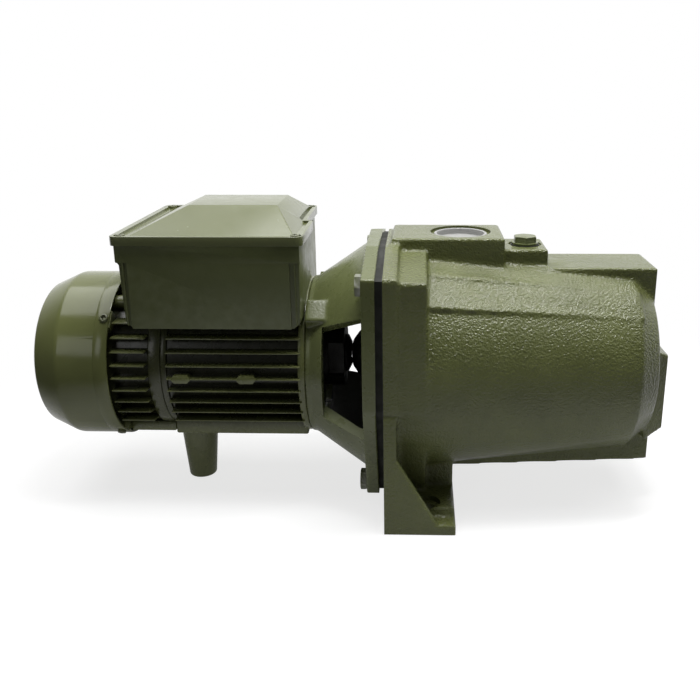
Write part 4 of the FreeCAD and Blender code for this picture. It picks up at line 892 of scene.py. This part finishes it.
upper_flat = shoulder("upper_flat", ((0.010, 0.1060), (0.0575, 0.0915), (0.0565, 0.0860),
                                     (0.010, 0.050)), 0.79)
lower_flat = shoulder("lower_flat", ((0.010, 0.1000), (0.0560, 0.0905), (0.0838, 0.0695),
                                     (0.0820, 0.0640), (0.010, 0.040)), 0.79)
casing_flange = outline_plate("casing_flange", FLANGE_OUTLINE, (BODY_X - 0.004, NECK_X))
casing_neck = outline_plate("casing_neck", ((0.0385, 0.1070), (0.1068, 0.0964), (0.1068, -0.0165),
                                            (0.064, -0.110)), (NECK_X - 0.001, BARREL_X))
port_block = bar("port_block", (-0.0336, 0.0663), (-0.0346, 0.0346), (0.20, 0.2476))
fill_boss = bar("fill_boss", (0.0643, 0.106), (-0.026, 0.026), (0.20, 0.236))
top_plate = bar("top_plate", (0.0643, 0.2026), (-0.031, 0.031), (0.17, 0.2205))
keel = bar("keel", (-0.020, 0.2075), (-0.031, 0.031), (0.024, 0.08))
for vertex in keel.data.vertices:
    if vertex.co.z < 0.05 and vertex.co.x > 0.1:
        vertex.co.z = 0.0345
boss = bar("suction_boss", (0.199, 0.220), (-0.044, 0.044), (0.059, 0.149))
pick(boss, lambda centre, normal: normal.x > 0.9)
bpy.ops.transform.resize(value=(1.0, 0.033 / 0.044, 0.070 / 0.090))
done()
drain_boss = drum("drain_boss", (-0.004, 0.004), 0.0095, 32, 0.0, 0.0)
pick(drain_boss, lambda centre, normal: True)
bpy.ops.transform.rotate(value=math.pi / 2, orient_axis="Z", center_override=(0.0, 0.0, 0.0))
bpy.ops.transform.translate(value=DRAIN_AT)
done()
foot_pad = bar("foot_pad", (BODY_X - 0.004, 0.024), (-FOOT_Y, FOOT_Y), (-0.003, 0.009))
foot_ledge = bar("foot_ledge", (BODY_X - 0.004, 0.0232), (-0.096, 0.096), (-0.003, 0.017))
foot_front = outline_plate("foot_front", ((0.110, -0.020), (0.1127, -0.119), (0.1127, -0.132),
                                          (0.05, -0.132), (0.05, -0.02)), (BODY_X - 0.004, BODY_X + 0.011))
ribs = [bar("rib", (BODY_X, 0.023), tuple(sorted((side * 0.046, side * 0.054))), (0.0, 0.045))
        for side in (-1.0, 1.0)]
webs = []
for side in (-1.0, 1.0):
    web = bar("web", (BODY_X, 0.0106), tuple(sorted((side * 0.1057, side * FOOT_Y))), (0.0, 0.068))
    for vertex in web.data.vertices:
        if vertex.co.z > 0.05:
            vertex.co.y -= side * 0.0016
            if vertex.co.x > 0.0:
                vertex.co.x = NECK_X
        elif vertex.co.x > 0.0:
            vertex.co.z = 0.005
    webs.append(web)
casing = fused([barrel, upper_flat, lower_flat, casing_flange, casing_neck, port_block, fill_boss, top_plate,
                keel, boss, drain_boss, foot_pad, foot_ledge, foot_front] + ribs + webs)
cast(casing, 0.0017, 3)
trim(casing, (0.0, 0.0, 0.0), (0.0, 0.0, -1.0))
trim(casing, (BODY_X, 0.0, 0.0), (-1.0, 0.0, 0.0))
trim(casing, (0.218, 0.0, 0.0), (1.0, 0.0, 0.0))

# The water space, the two port holes and the bolt holes are cut last, as on the machine.
DISCHARGE_X = 0.0287
SUCTION_Z = 0.102
FILL_X = 0.088
space = drum("space", (-0.05, 0.0), 0.092, 64)
pick(space, lambda centre, normal: normal.x > 0.9)
bpy.ops.mesh.extrude_region_move(TRANSFORM_OT_translate={"value": (0.0, 0.0, 0.0)})
bpy.ops.transform.resize(value=(1.0, 1.06, 1.06))
bpy.ops.mesh.extrude_region_move(TRANSFORM_OT_translate={"value": (0.14, 0.0, 0.0)})
bpy.ops.transform.resize(value=(1.0, 0.083 / 0.0975, 0.083 / 0.0975))
done()
combine(space, [upright("duct", (0.18, 0.217), 0.020, DISCHARGE_X, 0.0, 48),
                upright("thread", (0.2161, 0.25), PORT_THREAD_R, DISCHARGE_X, 0.0, 64),
                upright("lead_in", (0.2361, 0.25), 0.0244, DISCHARGE_X, 0.0, 64),
                upright("recess", (0.2451, 0.25), 0.0276, DISCHARGE_X, 0.0, 64),
                upright("fill_hole", (0.19, 0.24), 0.010, FILL_X, 0.0, 32),
                upright("fill_seat", (0.2345, 0.24), 0.015, FILL_X, 0.0, 48)], "UNION")
drain_way = drum("drain_way", (-0.010, 0.010), 0.006, 32, 0.0, 0.0)
pick(drain_way, lambda centre, normal: True)
bpy.ops.transform.rotate(value=math.pi / 2, orient_axis="Z", center_override=(0.0, 0.0, 0.0))
bpy.ops.transform.translate(value=(DRAIN_AT[0], DRAIN_AT[1] + 0.002, DRAIN_AT[2]))
done()
cuts = [space, drum("suction", (0.190, 0.22), PORT_THREAD_R, 64, 0.0, SUCTION_Z), drain_way,
        bar("chamber", (0.148, 0.194), (-0.029, 0.029), (0.066, 0.133)),
        upright("nozzle_seat", (0.060, 0.070), 0.0132, 0.172, 0.0, 32),
        drum("venturi_seat", (0.130, 0.152), 0.0202, 48, 0.0, SUCTION_Z)]
for y, z in FLANGE_BOLTS:
    cuts += [drum("bolt_hole", (-0.05, -0.0265), 0.005, 24, side * y, SHAFT_Z + z) for side in (-1.0, 1.0)]
for side in (-1.0, 1.0):
    cuts += [upright("foot_hole", (-0.01, 0.03), 0.006, 0.0, side * FOOT_HOLE_Y, 32),
             upright("foot_face", (0.012, 0.03), 0.011, 0.0, side * FOOT_HOLE_Y, 32)]
combine(casing, cuts, "DIFFERENCE")
fitted(casing, "pump_body", cast_enamel)

# ----------------------------------------------------------------------
# Flange bolts and washers: four hexagon-head steel bolts through the bracket into the casing,
# painted over with it.
# ----------------------------------------------------------------------
y, z = FLANGE_BOLTS[0][0], SHAFT_Z + FLANGE_BOLTS[0][1]
moves = [(0.0, side * a - y, SHAFT_Z + b - z) for a, b in FLANGE_BOLTS for side in (1.0, -1.0)][1:]

bolts = drum("flange_bolts", (BRACKET_FACE - 0.006, BRACKET_FACE - 0.001), 0.0098, 6, y, z)
dome = drum("dome", (BRACKET_FACE - 0.006, BRACKET_FACE), 0.0103, 32, y, z)
soften(dome, 0.0018, 3)
combine(bolts, [dome], "INTERSECT")
combine(bolts, [drum("bolt_shank", (BRACKET_FACE - 0.002, -0.028), 0.005, 24, y, z)], "UNION")
combine(bolts, [copied(bolts, move) for move in moves], "UNION")

washers = drum("flange_washers", (BRACKET_FACE - 0.001, BRACKET_FACE), 0.0095, 40, y, z)
combine(washers, [drum("washer_hole", (-0.06, -0.05), 0.0052, 24, y, z)], "DIFFERENCE")
combine(washers, [copied(washers, move) for move in moves], "UNION")
fitted(bolts, "flange_bolts", painted_screw)
fitted(washers, "flange_washers", painted_screw)

# ----------------------------------------------------------------------
# Outlet cap: a thin white plastic cup, moulded with a rounded lip. It is pushed by hand into
# the outlet and keeps dirt out until the pipe is fitted.
# ----------------------------------------------------------------------
cap = upright("discharge_cap", (0.2365, 0.2464), 0.02434, DISCHARGE_X, 0.0, 96)
pick(cap, lambda centre, normal: normal.z > 0.9)
bpy.ops.mesh.inset(thickness=0.0026)
bpy.ops.mesh.extrude_region_move(TRANSFORM_OT_translate={"value": (0.0, 0.0, -0.0058)})
done()
soften(cap, 0.0009, 3)
cap_plastic = finish_of("cap_plastic", (0.31, 0.31, 0.30), 0.40, grain=500.0, bump=0.06, mottle=0.03)
fitted(cap, "discharge_cap", cap_plastic, "outlet_cap")

# ----------------------------------------------------------------------
# Filling plug and drain plug: turned brass plugs with hexagon heads, painted over. Each is
# screwed into the casing on its own rubber sealing ring.
# ----------------------------------------------------------------------
plug = upright("fill_plug", (0.2375, 0.2435), 0.0110, FILL_X, 0.0, 6)
crown = upright("crown", (0.2300, 0.2435), 0.0114, FILL_X, 0.0, 48)
soften(crown, 0.0014, 3)
combine(plug, [crown], "INTERSECT")
collar = upright("collar", (0.2360, 0.2380), 0.0120, FILL_X, 0.0, 48)
combine(collar, [upright("stem", (0.2215, 0.2365), 0.00995, FILL_X, 0.0, 48)], "UNION")
soften(collar, 0.0003, 2)
combine(plug, [collar], "UNION")
hold(plug)
bpy.ops.object.shade_smooth_by_angle(angle=math.radians(35.0))
fitted(plug, "fill_plug", smooth_cast, "filler")
dress(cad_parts["fill_washer"], black_rubber)
dress(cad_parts["drain_plug"], smooth_cast)
dress(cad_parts["drain_washer"], black_rubber)
